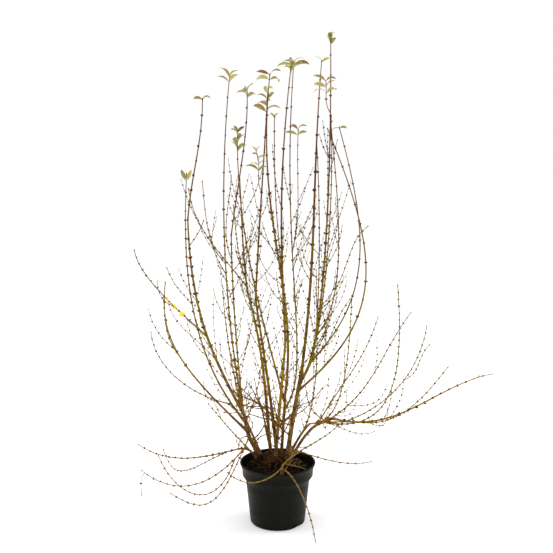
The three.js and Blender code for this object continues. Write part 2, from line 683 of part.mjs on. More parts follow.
// Drain openings: a wedge cut from the foot of the wall on two sides
function potSolid() {
  let body = solid(potGeometry());
  for (const azimuth of NOTCH.azimuths) {
    const box = new THREE.BoxGeometry(NOTCH.depth * 2, NOTCH.width, NOTCH.height);
    box.deleteAttribute("normal");
    box.deleteAttribute("uv");
    box.translate(POT.foot, 0, NOTCH.height / 2 - 1);
    box.rotateZ(THREE.MathUtils.degToRad(azimuth));
    body = body.subtract(solid(mergeVertices(box, 1e-4)));
  }
  return body;
}

// Compost that fills the pot just clear of its wall and of its drain openings
function soilGeometry() {
  const clear = POT.wall + GAP;
  const band = POT.band - clear - SOIL.slack;
  return lathe([
    [0, POT.floor + GAP],
    [SOIL.inNotch, POT.floor + GAP],
    [SOIL.inNotch, NOTCH.height],
    [POT.foot - clear + SOIL.slack, NOTCH.height + SOIL.overNotch],
    [POT.shoulder - clear - SOIL.slack, POT.shoulderBottom + SOIL.aboveStep],
    [band, POT.bandBottom + SOIL.aboveStep],
    [band, SOIL.top - SOIL.edgeDrop],
    [SOIL.flat, SOIL.top],
    [0, SOIL.top],
  ], POT.sides);
}

const shrub = new THREE.Group();
addPiece(shrub, "pot", geometryOf(potSolid()), material(COLOURS.pot, 0.5));
addPiece(shrub, "soil", soilGeometry(), material(COLOURS.soil, 0.95));
for (const cane of canes.values()) {
  if (cane.bare === 0) continue;
  const name = cane.parent === null ? cane.name : `bough_${cane.name}`;
  addPiece(shrub, name, limbGeometry(cane), material(COLOURS.wood, 0.8));
}
for (const [mass, bodies] of massGeometries()) {
  addPiece(shrub, `twigs_${mass}`, geometryOf(wasm.Manifold.union(bodies)), material(COLOURS.cane, 0.7));
}

export default shrub;
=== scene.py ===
"""A potted border forsythia in early spring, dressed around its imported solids.

The shrub grows again here by the rule that shaped its solids, and is carried on to finer twigs,
opposite buds, young leaves and three open flowers. Metres, +Z up. The origin is the centre of the
pot's flat underside, +X is to the right and -Y is the front.
"""

import json
import logging
from collections.abc import Iterable, Iterator
from dataclasses import dataclass, field
from enum import Enum
from functools import cached_property
from math import asin, atan2, cos, degrees, exp, floor, hypot, log, pi, radians, sin, sqrt, tau

import bmesh
import bpy
import numpy as np
from mathutils import Matrix, Vector, noise

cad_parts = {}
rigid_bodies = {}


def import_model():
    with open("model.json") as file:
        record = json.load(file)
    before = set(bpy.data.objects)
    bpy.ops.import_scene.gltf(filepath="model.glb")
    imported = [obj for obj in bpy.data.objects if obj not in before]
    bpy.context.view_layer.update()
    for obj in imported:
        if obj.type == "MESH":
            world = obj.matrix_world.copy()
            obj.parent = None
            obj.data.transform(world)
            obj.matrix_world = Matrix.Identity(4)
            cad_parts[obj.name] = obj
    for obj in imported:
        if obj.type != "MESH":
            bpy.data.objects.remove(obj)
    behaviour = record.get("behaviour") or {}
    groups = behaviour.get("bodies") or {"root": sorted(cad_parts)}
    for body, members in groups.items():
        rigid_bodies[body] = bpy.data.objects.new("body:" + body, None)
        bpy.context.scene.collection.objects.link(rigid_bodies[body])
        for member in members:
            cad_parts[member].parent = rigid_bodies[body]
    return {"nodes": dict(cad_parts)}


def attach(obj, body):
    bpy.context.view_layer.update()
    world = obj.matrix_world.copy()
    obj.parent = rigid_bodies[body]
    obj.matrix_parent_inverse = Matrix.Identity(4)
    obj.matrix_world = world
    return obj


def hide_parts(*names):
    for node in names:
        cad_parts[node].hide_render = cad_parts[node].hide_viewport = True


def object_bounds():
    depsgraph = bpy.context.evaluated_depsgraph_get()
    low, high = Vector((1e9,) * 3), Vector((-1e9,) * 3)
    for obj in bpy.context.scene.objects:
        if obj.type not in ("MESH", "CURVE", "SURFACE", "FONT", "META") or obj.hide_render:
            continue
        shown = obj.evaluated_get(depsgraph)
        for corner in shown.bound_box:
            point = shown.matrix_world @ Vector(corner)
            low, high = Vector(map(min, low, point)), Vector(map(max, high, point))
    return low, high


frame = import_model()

CAD_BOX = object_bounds()
LOG = logging.getLogger("forsythia")
BODY = "root"
MM = 0.001
UP = np.array((0.0, 0.0, 1.0))
WHITE = (1, 1, 1, 1)
BLACK = (0, 0, 0, 1)
Array = np.ndarray
Colour = tuple[float, float, float, float]
Stop = tuple[float, Colour]
Range = tuple[float, float]
Triple = tuple[float, float, float]
Socket = bpy.types.NodeSocket
Material = bpy.types.Material
Mesh = bpy.types.Mesh
Piece = bpy.types.Object
Shape = bmesh.types.BMesh

# Stems: name, foot on the soil, tip, heading at the foot and at the tip (azimuth and lean in
# degrees, then the share of the length that the heading holds), radius at the foot and at the
# tip, and the share of the length that is bare wood before its twigs begin
STEMS = (
    ("stem_left", (-0.042, 0.044), (-0.11, 0.04, 0.355), (165, 42), (180, 2), 0.008, 0.006, 1),
    ("stem_low_left", (-0.064, 0.032), (-0.13, -0.025, 0.268), (190, 30), (187, 95), 0.0045, 0.0034, 1),
    ("stem_middle_left", (-0.022, 0.066), (-0.1, 0.095, 0.775), (180, 5), (165, 16), 0.006, 0.0034, 0.42),
    ("stem_middle", (-0.002, 0.086), (-0.075, 0.13, 0.745), (150, 6), (160, 9), 0.006, 0.0034, 0.45),
    ("stem_middle_right", (-0.008, 0.034), (0.025, -0.06, 0.655), (290, 9), (300, 7), 0.006, 0.0038, 0.5),
    ("stem_inner", (0.012, 0.054), (0.025, 0.01, 0.445), (330, 3), (290, 7), 0.0056, 0.0044, 1),
    ("stem_right", (0.03, 0.034), (0.08, 0.02, 0.525), (10, 7), (0, 10), 0.0085, 0.0062, 1),
    ("stem_low_right", (0.028, 0.006), (0.19, -0.02, 0.372), (345, 32), (0, 88), 0.0056, 0.0042, 1),
    ("stem_front", (0.014, -0.08), (0.016, -0.084, 0.23), (280, 10), (290, 20), 0.0044, 0.0038, 1),
    ("stem_back_left", (-0.052, 0.074), (-0.12, 0.15, 0.33), (140, 30), (130, 40), 0.005, 0.0036, 1),
    ("stem_back_right", (0.034, 0.078), (0.11, 0.13, 0.3), (30, 35), (40, 60), 0.005, 0.0036, 1),
)

# Canes that grow on from a stem or another cane: name, parent, share of the parent's length where
# it starts, and then the same sizes as a stem, but the radius at the tip and the bare share only
# where they aren't 1 mm and 0
LEFT_CANES = (
    ("left_arch", "stem_left", 0.72, (-0.355, -0.15, 0.87), (200, 43, 0.6), (10, 6, 0.26),
     0.0044, 0.0012, 0.3),
    ("left_arch_b", "left_arch", 0.42, (-0.37, -0.06, 0.79), (165, 42, 0.45), (180, 5, 0.3), 0.002),
    ("left_tall", "stem_left", 1, (-0.285, -0.09, 1.06), (196, 27), (190, 1, 0.4), 0.0052, 0.0024, 0.48),
    ("left_tall_top", "left_tall", 1, (-0.23, -0.15, 1.445), (340, 5), (0, 1), 0.0024, 0.0011),
    ("left_tall_b", "left_tall", 0.9, (-0.235, -0.11, 1.06), (30, 40), (30, 20), 0.0015, 0.0009),
    ("left_back", "stem_left", 0.9, (-0.31, 0.23, 1.16), (155, 44), (60, 6), 0.0042, 0.0011, 0.22),
    ("left_back_b", "left_back", 0.5, (-0.385, 0.26, 0.825), (165, 45), (180, 20), 0.0016, 0.0009),
    ("left_low", "left_back", 0.07, (-0.44, 0.2, 0.61), (160, 85), (160, 6), 0.0026),
    ("left_outer", "left_tall", 0.46, (-0.46, -0.06, 0.955), (190, 46, 0.5), (180, 8, 0.2), 0.0026),
    ("left_inner", "stem_left", 0.84, (-0.155, 0.06, 1.495), (110, 36, 0.12), (0, 6, 0.5),
     0.0044, 0.0011, 0.28),
    ("left_inner_b", "left_inner", 0.58, (-0.25, 0.12, 1.15), (150, 40), (160, 5), 0.0018, 0.0009),
    ("left_front", "stem_left", 0.76, (-0.15, -0.03, 1), (255, 40, 0.08), (270, 4, 0.4),
     0.0044, 0.0022, 0.4),
    ("left_front_top", "left_front", 1, (-0.095, -0.09, 1.46), (330, 9, 0.5), (180, 1, 0.28),
     0.0022, 0.0011),
    ("droop_back", "stem_low_left", 1, (-0.48, 0.09, 0.24), (170, 108), (165, 60), 0.0026),
    ("droop_back_b", "droop_back", 0.1, (-0.41, 0.25, 0.16), (150, 120, 0.5), (140, 25), 0.002),
    ("droop_left", "stem_low_left", 0.85, (-0.45, -0.1, 0.22), (200, 137, 0.5), (185, 48, 0.42), 0.0026),
    ("droop_left_b", "droop_left", 0.97, (-0.452, -0.112, 0.14), (210, 120), (200, 175), 0.0011, 0.0008),
    ("droop_left_c", "droop_left", 0.08, (-0.38, -0.23, 0.32), (215, 158, 0.62), (200, 20, 0.5), 0.0022),
    ("droop_near", "stem_left", 0.6, (-0.345, -0.21, 0.185), (236, 136, 0.62), (200, 50, 0.5), 0.0024),
    ("budded_left", "stem_low_left", 0.6, (-0.22, -0.2, 0.485), (235, 45), (220, 38), 0.0024),
    ("budded_left_b", "budded_left", 0.7, (-0.205, -0.16, 0.485), (180, 10), (200, 10), 0.0014, 0.0009),
)
MIDDLE_CANES = (
    ("middle_left_top", "stem_middle_left", 1, (-0.13, 0.28, 1.135), (110, 25), (100, 20), 0.0032, 0.0011),
    ("middle_left_b", "middle_left_top", 0.1, (-0.155, 0.33, 1.035), (130, 30), (110, 20), 0.0022),
    ("middle_left_c", "middle_left_top", 0.05, (-0.305, 0.25, 1.105), (140, 48), (150, 8), 0.0022),
    ("centre_back", "stem_inner", 0.9, (-0.135, 0.19, 1.28), (140, 20), (90, 4), 0.0042, 0.0011, 0.22),
    ("middle_top", "stem_middle", 1, (-0.035, 0.16, 1.415), (60, 5), (0, 3), 0.0033, 0.0011),
    ("middle_b", "middle_top", 0.55, (-0.065, 0.14, 1.22), (150, 35), (170, 10), 0.0014, 0.0009),
    ("centre", "stem_inner", 1, (-0.025, -0.03, 1.51), (0, 7), (0, 6, 0.45), 0.0044, 0.0011, 0.2),
    ("middle_right_top", "stem_middle_right", 1, (0.04, -0.17, 1.545), (250, 8), (310, 10, 0.4),
     0.0037, 0.0011),
    ("middle_right_b", "middle_right_top", 0.24, (-0.01, -0.19, 1.395), (220, 8), (280, 5), 0.0022),
    ("front_right", "stem_front", 1, (0.195, -0.2, 0.415), (345, 38, 0.3), (330, 42), 0.0026),
    ("front_left", "stem_front", 0.86, (-0.16, -0.21, 0.255), (250, 92, 0.4), (170, 50, 0.45), 0.0022),
    ("front_droop", "stem_front", 0.6, (0.12, -0.29, 0.057), (290, 74, 0.4), (305, 165, 0.4), 0.0022),
    ("back_left_up", "stem_back_left", 1, (-0.2, 0.43, 0.7), (110, 45), (110, 15), 0.003),
    ("back_left_low", "stem_back_left", 0.85, (-0.06, 0.48, 0.42), (80, 80), (80, 35), 0.0026),
)
RIGHT_CANES = (
    ("right_inner", "stem_inner", 0.8, (0.05, 0.04, 1.53), (10, 34, 0.14), (0, 4, 0.55), 0.0038, 0.0011),
    ("right_inner_b", "right_inner", 0.62, (0.065, -0.02, 1.335), (300, 25), (0, 3), 0.0014, 0.0009),
    ("right_upright", "stem_right", 1, (0.145, 0.19, 1.54), (52, 12, 0.4), (65, 11, 0.4),
     0.005, 0.0011, 0.2),
    ("right_leaning", "stem_right", 0.9, (0.165, -0.02, 1.635), (320, 38, 0.12), (180, 1, 0.45),
     0.0054, 0.0011, 0.3),
    ("right_leaning_b", "right_leaning", 0.84, (0.152, -0.02, 1.48), (180, 40), (180, 5), 0.0013, 0.0009),
    ("right_back", "right_leaning", 0.2, (0.175, 0.15, 1.36), (60, 40, 0.12), (190, 4), 0.003, 0.0011),
    ("right_near", "right_leaning", 0.085, (0.12, -0.15, 1.31), (300, 38, 0.12), (200, 4), 0.0028),
    ("right_near_b", "right_near", 0.06, (0.175, -0.15, 0.815), (340, 30), (0, 15), 0.0016, 0.0009),
    ("right_near_c", "right_near", 0.04, (0.23, -0.09, 0.8), (350, 50), (0, 35), 0.0016, 0.0009),
    ("right_mid", "right_leaning", 0.25, (0.17, 0.06, 1.37), (10, 40, 0.23), (195, 6), 0.0028),
    ("right_mid_b", "right_mid", 0.28, (0.3, 0.12, 1), (20, 35), (30, 60), 0.0016, 0.0009),
    ("right_arch", "stem_right", 0.8, (0.155, -0.12, 1.35), (320, 48, 0.5), (160, 24, 0.5),
     0.0042, 0.0011, 0.3),
    ("right_arch_in", "right_leaning", 0.12, (0.2, 0.07, 1.335), (20, 48, 0.39), (185, 16, 0.45),
     0.0034, 0.0011),
    ("low_right_far", "stem_low_right", 0.75, (0.36, 0.35, 0.625), (62, 64, 0.5), (50, 30), 0.0028),
    ("low_right_front", "stem_low_right", 0.7, (0.225, -0.3, 0.85), (300, 62, 0.32), (280, 8, 0.4), 0.0028),
    ("low_right_near", "stem_low_right", 0.82, (0.375, -0.19, 0.87), (325, 88, 0.5), (190, 5, 0.45),
     0.0028),
    ("low_right_back", "stem_low_right", 0.93, (0.46, 0.2, 0.68), (45, 78, 0.48), (30, 45), 0.0028),
    ("low_right_tip", "stem_low_right", 1, (0.72, 0.04, 0.51), (355, 103, 0.4), (10, 82), 0.0036, 0.0011),
    ("low_right_b", "low_right_tip", 0.12, (0.54, -0.18, 0.6), (340, 92), (350, 35), 0.0024),
    ("low_right_c", "low_right_tip", 0.06, (0.5, 0.06, 0.67), (10, 73, 0.45), (15, 8, 0.3), 0.0024),
    ("low_right_d", "low_right_c", 0.5, (0.495, -0.06, 0.64), (340, 60), (350, 40), 0.0014, 0.0009),
    ("droop_right", "stem_low_right", 0.25, (0.31, -0.06, 0.235), (330, 95), (10, 82), 0.0026),
    ("back_right", "stem_back_right", 1, (0.34, 0.15, 0.305), (10, 85), (0, 85), 0.0026),
    ("back_right_b", "back_right", 0.1, (0.345, 0.26, 0.225), (40, 95), (30, 80), 0.0018, 0.0009),
    ("back_right_up", "stem_back_right", 0.8, (0.14, 0.43, 0.78), (70, 60), (90, 15), 0.003),
)

# Young leaves at the tips: cane, opposite pairs, length of the largest leaf, elevation of the
# lowest pair, and azimuth of the lowest pair, in degrees
TUFTS = (
    ("left_tall_top", 1, 0.026, 20, 175),
    ("left_back", 1, 0.04, 68, 185),
    ("left_inner", 2, 0.042, 40, 175),
    ("left_front_top", 2, 0.042, 30, 170),
    ("centre_back", 4, 0.046, 40, 160),
    ("middle_top", 4, 0.05, 25, 185),
    ("middle_b", 4, 0.042, 25, 170),
    ("centre", 2, 0.044, 15, 180),
    ("middle_right_top", 3, 0.046, 35, 170),
    ("middle_right_b", 1, 0.02, 45, 200),
    ("right_inner", 3, 0.046, 20, 20),
    ("right_inner_b", 2, 0.036, 20, 190),
    ("right_upright", 1, 0.03, 40, 10),
    ("right_leaning", 2, 0.042, 40, 185),
    ("right_leaning_b", 3, 0.046, 20, 165),
    ("right_arch_in", 1, 0.024, 10, 180),
)

# Fine canes that only the dressed shrub has: name, parent, share of it where it starts, tip,
# heading at the foot and at the tip, radius at the foot, and radius at the tip where it isn't 1 mm
FINE_CANES = (
    ("left_tall_side", "left_tall", 0.32, (-0.36, -0.04, 0.795), (185, 40, 0.45), (180, 8), 0.0014, 0.0008),
    ("knot", "stem_middle_left", 0.08, (-0.058, 0.05, 0.4), (180, 12), (170, 14), 0.003, 0.0024),
    ("knot_a", "knot", 1, (-0.176, 0.03, 0.475), (185, 62), (190, 40), 0.0022, 0.0013),
    ("knot_b", "knot", 0.93, (-0.138, 0.08, 0.455), (170, 60), (170, 62), 0.002, 0.0013),
    ("knot_c", "knot", 1, (-0.103, 0.06, 0.475), (175, 40), (180, 45), 0.0019, 0.0013),
    ("knot_d", "knot", 0.97, (-0.08, 0.04, 0.5), (200, 20), (180, 12), 0.0019, 0.0012),
    ("knot_e", "knot", 0.8, (-0.13, 0, 0.42), (220, 70), (200, 60), 0.0018, 0.0011),
    ("crossing", "stem_inner", 0.47, (-0.05, 0.045, 0.405), (170, 48), (175, 40), 0.0026, 0.0018),
    ("crossing_b", "stem_right", 0.3, (-0.015, 0, 0.42), (185, 60), (180, 20), 0.0022, 0.0015),
    ("crossing_c", "stem_middle_right", 0.3, (0.085, -0.02, 0.43), (350, 45), (0, 30), 0.002, 0.0012),
    ("crossing_d", "stem_left", 0.5, (-0.01, 0.03, 0.4), (0, 50), (10, 35), 0.0023, 0.0014),
    ("crossing_e", "stem_middle", 0.16, (0.07, 0.06, 0.39), (350, 45), (0, 35), 0.0022, 0.0013),
    ("low_arch", "stem_left", 0.61, (-0.135, 0.03, 0.243), (185, 88, 0.5), (190, 172), 0.0018, 0.0012),
    ("low_fork", "stem_front", 0.3, (0.052, -0.04, 0.236), (20, 55), (20, 60), 0.0018),
    ("rung_a", "stem_middle_left", 0.31, (-0.098, 0.03, 0.399), (190, 70), (175, 88), 0.0023, 0.0017),
    ("rung_b", "stem_middle_left", 0.24, (-0.098, 0.03, 0.372), (200, 75), (170, 80), 0.002, 0.0014),
    ("rung_c", "stem_inner", 0.6, (-0.043, 0.02, 0.415), (185, 55), (175, 42), 0.0025, 0.0017),
    ("rung_d", "stem_right", 0.41, (-0.053, 0.06, 0.386), (175, 80), (170, 55), 0.0024, 0.0017),
    ("rung_e", "stem_middle_right", 0.31, (0.109, 0.02, 0.457), (20, 60), (10, 44), 0.0018),
    ("rung_f", "stem_right", 0.52, (0.165, -0.01, 0.49), (340, 60), (0, 50), 0.0016, 0.0009),
    ("rung_g", "stem_left", 0.42, (-0.04, 0.02, 0.303), (350, 40), (10, 75), 0.002, 0.0014),
    ("rung_h", "stem_left", 0.68, (-0.092, 0, 0.367), (20, 40), (180, 20), 0.0016, 0.0011),
    ("rung_i", "stem_inner", 0.1, (-0.014, 0, 0.305), (190, 40), (180, 22), 0.0028, 0.002),
    ("rung_j", "stem_middle", 0.22, (-0.06, 0.05, 0.398), (200, 45), (190, 30), 0.0022, 0.0015),
    ("rung_k", "stem_middle_right", 0.18, (0.046, 0, 0.372), (10, 45), (0, 25), 0.0022, 0.0015),
    ("hanging", "low_right_near", 0.03, (0.094, -0.01, 0.47), (180, 68, 0.55), (170, 12), 0.002, 0.0012),
    ("right_leaning_c", "right_leaning", 0.74, (0.141, -0.06, 1.37), (200, 16), (180, 8), 0.0012, 0.0008),
    ("right_leaning_d", "right_leaning", 0.74, (0.133, 0.01, 1.32), (150, 36), (180, 16), 0.0012, 0.0008),
    ("right_leaning_e", "right_leaning", 0.71, (0.188, -0.05, 1.31), (340, 22), (0, 14), 0.0012, 0.0008),
    ("right_leaning_f", "right_leaning", 0.77, (0.172, 0.02, 1.38), (40, 12), (0, 2), 0.0012, 0.0008),
    ("left_front_side", "left_front", 0.9, (-0.15, 0.02, 1.185), (160, 25), (0, 3), 0.0016, 0.0009),
)

# Tufts whose pairs are gathered at the very tip of their cane
GATHERED_TUFTS = {"middle_right_top", "right_inner"}

# Canes whose joints stay long down to their foot
LONG_JOINTED = {"right_arch", "right_arch_in", "right_upright", "left_arch"}


def linear(code: str) -> Colour:
    """Turn an sRGB hex colour into linear light.

    Args:
        code: The colour as "#rrggbb".

    Returns:
        Linear red, green and blue, and full alpha.
    """
    shares = [int(code[i:i + 2], 16) / 255 for i in (1, 3, 5)]
    red, green, blue = [s / 12.92 if s <= 0.04045 else ((s + 0.055) / 1.055) ** 2.4 for s in shares]
    return red, green, blue, 1.0


class Coat:
    """A material in the making: its nodes, and the surface shader that they feed."""

    def __init__(self, name: str) -> None:
        """Start the material.

        Args:
            name: The material's name.
        """
        self.material = bpy.data.materials.new(name)
        self.material.use_nodes = True
        self.tree = self.material.node_tree

    @cached_property
    def place(self) -> Socket:
        """Give the place on the object."""
        return self.add("TexCoord", {}, "Object")

    def feed(self, node: bpy.types.Node, settings: dict) -> None:
        """Set a node's inputs, links and properties.

        Args:
            node: The node.
            settings: Values, or the sockets that feed them, by the name or number of an input or
                the name of a property. "stops" gives a colour ramp's places and colours.
        """
        for name, value in settings.items():
            if name == "stops":
                elements = node.color_ramp.elements
                while len(elements) < len(value):
                    elements.new(0.5)
                for element, (place, colour) in zip(elements, value):
                    element.position = place
                    element.color = colour
            elif isinstance(value, Socket):
                self.tree.links.new(value, node.inputs[name])
            elif name in node.inputs:
                node.inputs[name].default_value = value
            else:
                setattr(node, name, value)

    def add(self, kind: str, settings: dict, out: str | int = 0) -> Socket:
        """Add a node, a pattern on the object's own coordinates if its settings name no others.

        Args:
            kind: The node's type, without "ShaderNode" before it.
            settings: What feeds it.
            out: The name or number of the output that is wanted.

        Returns:
            That output.
        """
        node = self.tree.nodes.new("ShaderNode" + kind)
        own = {"Vector": self.place} if "Vector" in node.inputs else {}
        self.feed(node, own | settings)
        return node.outputs[out]

    def shade(self, base: Colour | Socket, pattern: Socket, dark: Stop, pale: Stop) -> Socket:
        """Multiply a colour by the shades that a pattern picks.

        Args:
            base: The colour.
            pattern: The pattern.
            dark: The pattern's value for the darkest shade, and that shade.
            pale: Its value for the palest shade, and that shade.

        Returns:
            The shaded colour.
        """
        shades = self.add("ValToRGB", {"stops": (dark, pale), "Fac": pattern})
        return self.add("MixRGB", {"blend_type": "MULTIPLY", "Fac": 1.0, "Color1": base, "Color2": shades})

    def finished(self, settings: dict) -> Material:
        """Feed the surface shader and give the material."""
        self.feed(self.tree.nodes["Principled BSDF"], settings)
        return self.material


def limits(value: float, low: float, high: float) -> float:
    """Keep a value between two others."""
    return min(high, max(low, value))


def unit(vector: Array) -> Array:
    """Scale a vector to a length of one."""
    return vector / np.linalg.norm(vector)


def heading(azimuth: float, lean: float) -> Array:
    """Give the direction of an azimuth and a lean from upright, both in degrees."""
    a, l = radians(azimuth), radians(lean)
    return np.array((sin(l) * cos(a), sin(l) * sin(a), cos(l)))


def turned(vector: Array, axis: Array, angle: float) -> Array:
    """Turn a vector about a unit axis by an angle in radians."""
    along = axis * float(axis @ vector) * (1 - cos(angle))
    return vector * cos(angle) + np.cross(axis, vector) * sin(angle) + along


class Seeded:
    """The Park-Miller rule, which grew the solids too."""

    step: int = 7919
    factor: int = 48271
    modulus: int = 2 ** 31 - 1

    def __init__(self, seed: int) -> None:
        """Start the rule.

        Args:
            seed: A small whole number.
        """
        self.state = seed * self.step
        for _ in range(3):
            self.next()

    def next(self) -> float:
        """Draw a number between zero and one."""
        self.state = self.state * self.factor % self.modulus
        return self.state / self.modulus

    def between(self, low: float, high: float) -> float:
        """Draw a number between two others."""
        return low + (high - low) * self.next()


def lengths_along(points: Array) -> Array:
    """Give the length along a line at each of its points."""
    return np.concatenate(((0.0,), np.cumsum(np.linalg.norm(np.diff(points, axis=0), axis=1))))


class Curve:
    """A cubic curve that knows the lengths along it."""

    samples: int = 201

    def __init__(self, corners: Iterable[Array]) -> None:
        """Measure the curve.

        Args:
            corners: Its four control points.
        """
        self.corners = np.array(list(corners))
        self.shares = np.linspace(0, 1, self.samples)
        self.lengths = lengths_along(self.points(self.shares))
        self.length = float(self.lengths[-1])

    def points(self, shares: Array) -> Array:
        """Give the points at several shares of the curve.

        Args:
            shares: The shares, between zero and one.

        Returns:
            The points, one a row.
        """
        t, p = np.asarray(shares, dtype=float)[:, None], self.corners
        u = 1 - t
        return u ** 3 * p[0] + 3 * u * u * t * p[1] + 3 * u * t * t * p[2] + t ** 3 * p[3]

    def point(self, share: float) -> Array:
        """Give the point at one share of the curve."""
        return self.points(np.array((share,)))[0]

    def tangent(self, share: float) -> Array:
        """Give the unit direction at a share of the curve."""
        u, p = 1 - share, self.corners
        return unit(u * u * (p[1] - p[0]) + 2 * u * share * (p[2] - p[1]) + share * share * (p[3] - p[2]))

    def share_at(self, along: float) -> float:
        """Give the share of the curve that lies at a share of its length."""
        return float(np.interp(along * self.length, self.lengths, self.shares))


@dataclass
class Cane:
    """One stem or cane: a cubic curve that leaves its foot and reaches its tip on stated headings."""

    name: str
    index: int
    parent: "Cane | None"
    at: float
    foot: Array | None
    tip: Triple
    start: tuple[float, ...]
    end: tuple[float, ...]
    radius: float
    point: float = MM
    bare: float = 0
    gap: float = 0.3 * MM
    bend: float = 0.36
    # the grown wood: how much stouter a fine tip is drawn, and the share of its radius that a side
    # cane keeps past its foot, its taper, and the share of it over which the foot narrows
    fine_tip: float = 1.25 * MM
    stouter: float = 1.3
    kept: float = 0.72
    taper: float = 1.6
    narrowing: float = 0.12
    fused: bool = field(init=False)
    mass: str = field(init=False)
    curve: Curve = field(init=False)

    def __post_init__(self) -> None:
        """Settle what the cane is fused to, and its curve."""
        parent = self.parent
        self.fused = parent is not None and parent.bare < 1 and self.at >= parent.bare
        self.mass = parent.mass if self.fused else self.name.replace("stem_", "")
        leave = heading(*self.start[:2])
        arrive = heading(*self.end[:2])
        first = self.foot if parent is None else self.seat(parent, leave)
        last = np.array(self.tip)
        reach = float(np.linalg.norm(last - first))
        held = [h[2] if len(h) > 2 else self.bend for h in (self.start, self.end)]
        self.curve = Curve((first, first + leave * held[0] * reach, last - arrive * held[1] * reach, last))

    def seat(self, parent: "Cane", leave: Array) -> Array:
        """Find where the cane starts: on its parent's axis, or just clear of its parent's bark.

        Args:
            parent: The cane or stem that it grows from.
            leave: The direction in which it leaves.

        Returns:
            The first point of its curve.
        """
        axis = parent.curve.point(self.at)
        if self.fused:
            return axis
        along = parent.curve.tangent(self.at)
        level = abs(float(along @ leave))
        steep = sqrt(max(0.01, 1 - level * level))
        if self.at == 1:
            return axis + along * (self.gap + self.radius * steep)
        return axis + leave * (parent.radius_at(self.at) + self.gap + self.radius * level) / steep

    def radius_at(self, share: float) -> float:
        """Give the solid cane's radius at a share of it."""
        return self.radius + (self.point - self.radius) * share

    def girth_at(self, share: float | Array) -> float | Array:
        """Give the grown wood's radius: a side cane is soon slender, and keeps its girth to the tip.

        Args:
            share: The share of the cane, or an array of shares.

        Returns:
            The radius there.
        """
        if self.parent is None:
            return self.radius_at(share)
        tip = self.point * (self.stouter if self.point < self.fine_tip else 1)
        stout = self.at == 1 or self.mass.startswith("front")
        body = self.radius if stout else max(self.kept * self.radius, tip)
        foot = (self.radius - body) * np.exp(-share / self.narrowing)
        return tip + (body - tip) * (1 - share ** self.taper) + foot


@dataclass(frozen=True)
class TwigRule:
    """How twigs leave their canes: section, clearances, ranges of size and angle, and reach."""

    radius: float = 1.3 * MM
    point: float = 0.8 * MM
    clear: float = 2 * MM
    own_clear: float = 0.8 * MM
    size: Range = (0.35, 1.0)
    open: Range = (0.6, 0.9)
    rise: Range = (0.05, 0.4)
    at_ground: float = 0.330
    fall: float = 0.18
    least: float = 0.090
    most: float = 0.260
    leaving: float = 0.55
    bend: float = 0.36
    strong_spacing: float = 0.060
    weak_spacing: float = 0.044
    strong_radius: float = 3.1 * MM
    steps: int = 3
    cane_steps: int = 24

    def curve(self, shoot: "Shoot", node: "Node", half: int, length: float, open_: float,
              rise: float) -> Curve:
        """Shape one twig, which leaves at about 45 degrees and curves up towards the light.

        Args:
            shoot: The wood that bears it.
            node: The node where it starts.
            half: 0 or 1, for the bud on one side or the other.
            length: Its length, roughly.
            open_: The angle at which it leaves, in radians.
            rise: The angle from upright at which it ends, in radians.

        Returns:
            The twig's curve.
        """
        base, along = shoot.curve.point(node.share), shoot.curve.tangent(node.share)
        side = shoot.side(node, half)
        leave = unit(along * cos(open_) + side * sin(open_))
        arrive = unit(UP * cos(rise) + side * sin(rise))
        tip = base + leave * length * self.leaving + arrive * length * (1 - self.leaving)
        return Curve((base, base + leave * length * self.bend, tip - arrive * length * self.bend, tip))


@dataclass(frozen=True)
class TwiggyPlace:
    """Where the crown is twiggy: near its axis, from just over the pot to half its height."""

    x: float = -0.020
    y: float = 0.045
    inner: float = 0.110
    outer: float = 0.280
    low: float = 0.250
    full: float = 0.360
    thin: float = 0.560
    top: float = 1.020
    most: float = 0.7
    least: float = 0.04

    def chance(self, place: Array) -> float:
        """Tell how likely it is that a bud has grown into a twig.

        Args:
            place: Where the bud is.

        Returns:
            The chance, between zero and one.
        """
        off = hypot(place[0] - self.x, place[1] - self.y)
        near = limits((self.outer - off) / (self.outer - self.inner), self.least, 1)
        low = limits((place[2] - self.low) / (self.full - self.low), 0, 1)
        high = limits((self.top - place[2]) / (self.top - self.thin), 0, 1)
        return self.most * near * low * high


@dataclass(frozen=True)
class FineTwigs:
    """One sort of finer twig that only the dressed shrub has, and how likely a bud grew into it."""

    chance: float
    length: Range
    radius: float
    point: float
    order: int
    open: Range = (0.25, 0.62)
    rise: Range = (0.05, 0.50)
    below: float = 2.0
    above: float = 0.0


@dataclass(frozen=True)
class Node:
    """A place on a shoot that bears two opposite buds: its share, and the turn of its first bud."""

    share: float
    turn: float

    @classmethod
    def at(cls, curve: Curve, k: float, count: int, turn: float) -> "Node":
        """Place the node at k of count stretches of a curve, each a right angle round from the last."""
        return cls(curve.share_at(k / count), turn + k * pi / 2)


@dataclass
class Shoot:
    """Wood that bears buds: its curve and radii, its nodes, and which of its buds grew on."""

    cane: Cane
    curve: Curve
    low: float
    radius: float
    point: float
    nodes: list[Node]
    order: int
    tone: float
    root: Array | None = None
    grown: set[tuple[Node, int]] = field(default_factory=set)

    def radius_at(self, share: float | Array) -> float | Array:
        """Give the radius at a share of the shoot."""
        slender = self.radius + (self.point - self.radius) * share
        return slender if self.order else self.cane.girth_at(share)

    def side(self, node: Node, half: int) -> Array:
        """Give the direction in which one of the two buds of a node faces.

        Args:
            node: The node.
            half: 0 or 1, for the bud on one side or the other.

        Returns:
            A unit vector across the shoot.
        """
        along = self.curve.tangent(node.share)
        level = unit(np.array((along[1], -along[0], MM)))
        return turned(level, along, node.turn + half * pi)


@dataclass
class LeafSeat:
    """Where a young leaf grows: its cane, base, direction, length, rank, and a draw for its tint."""

    name: str
    base: Array
    out: Array
    length: float
    rank: int
    draw: float


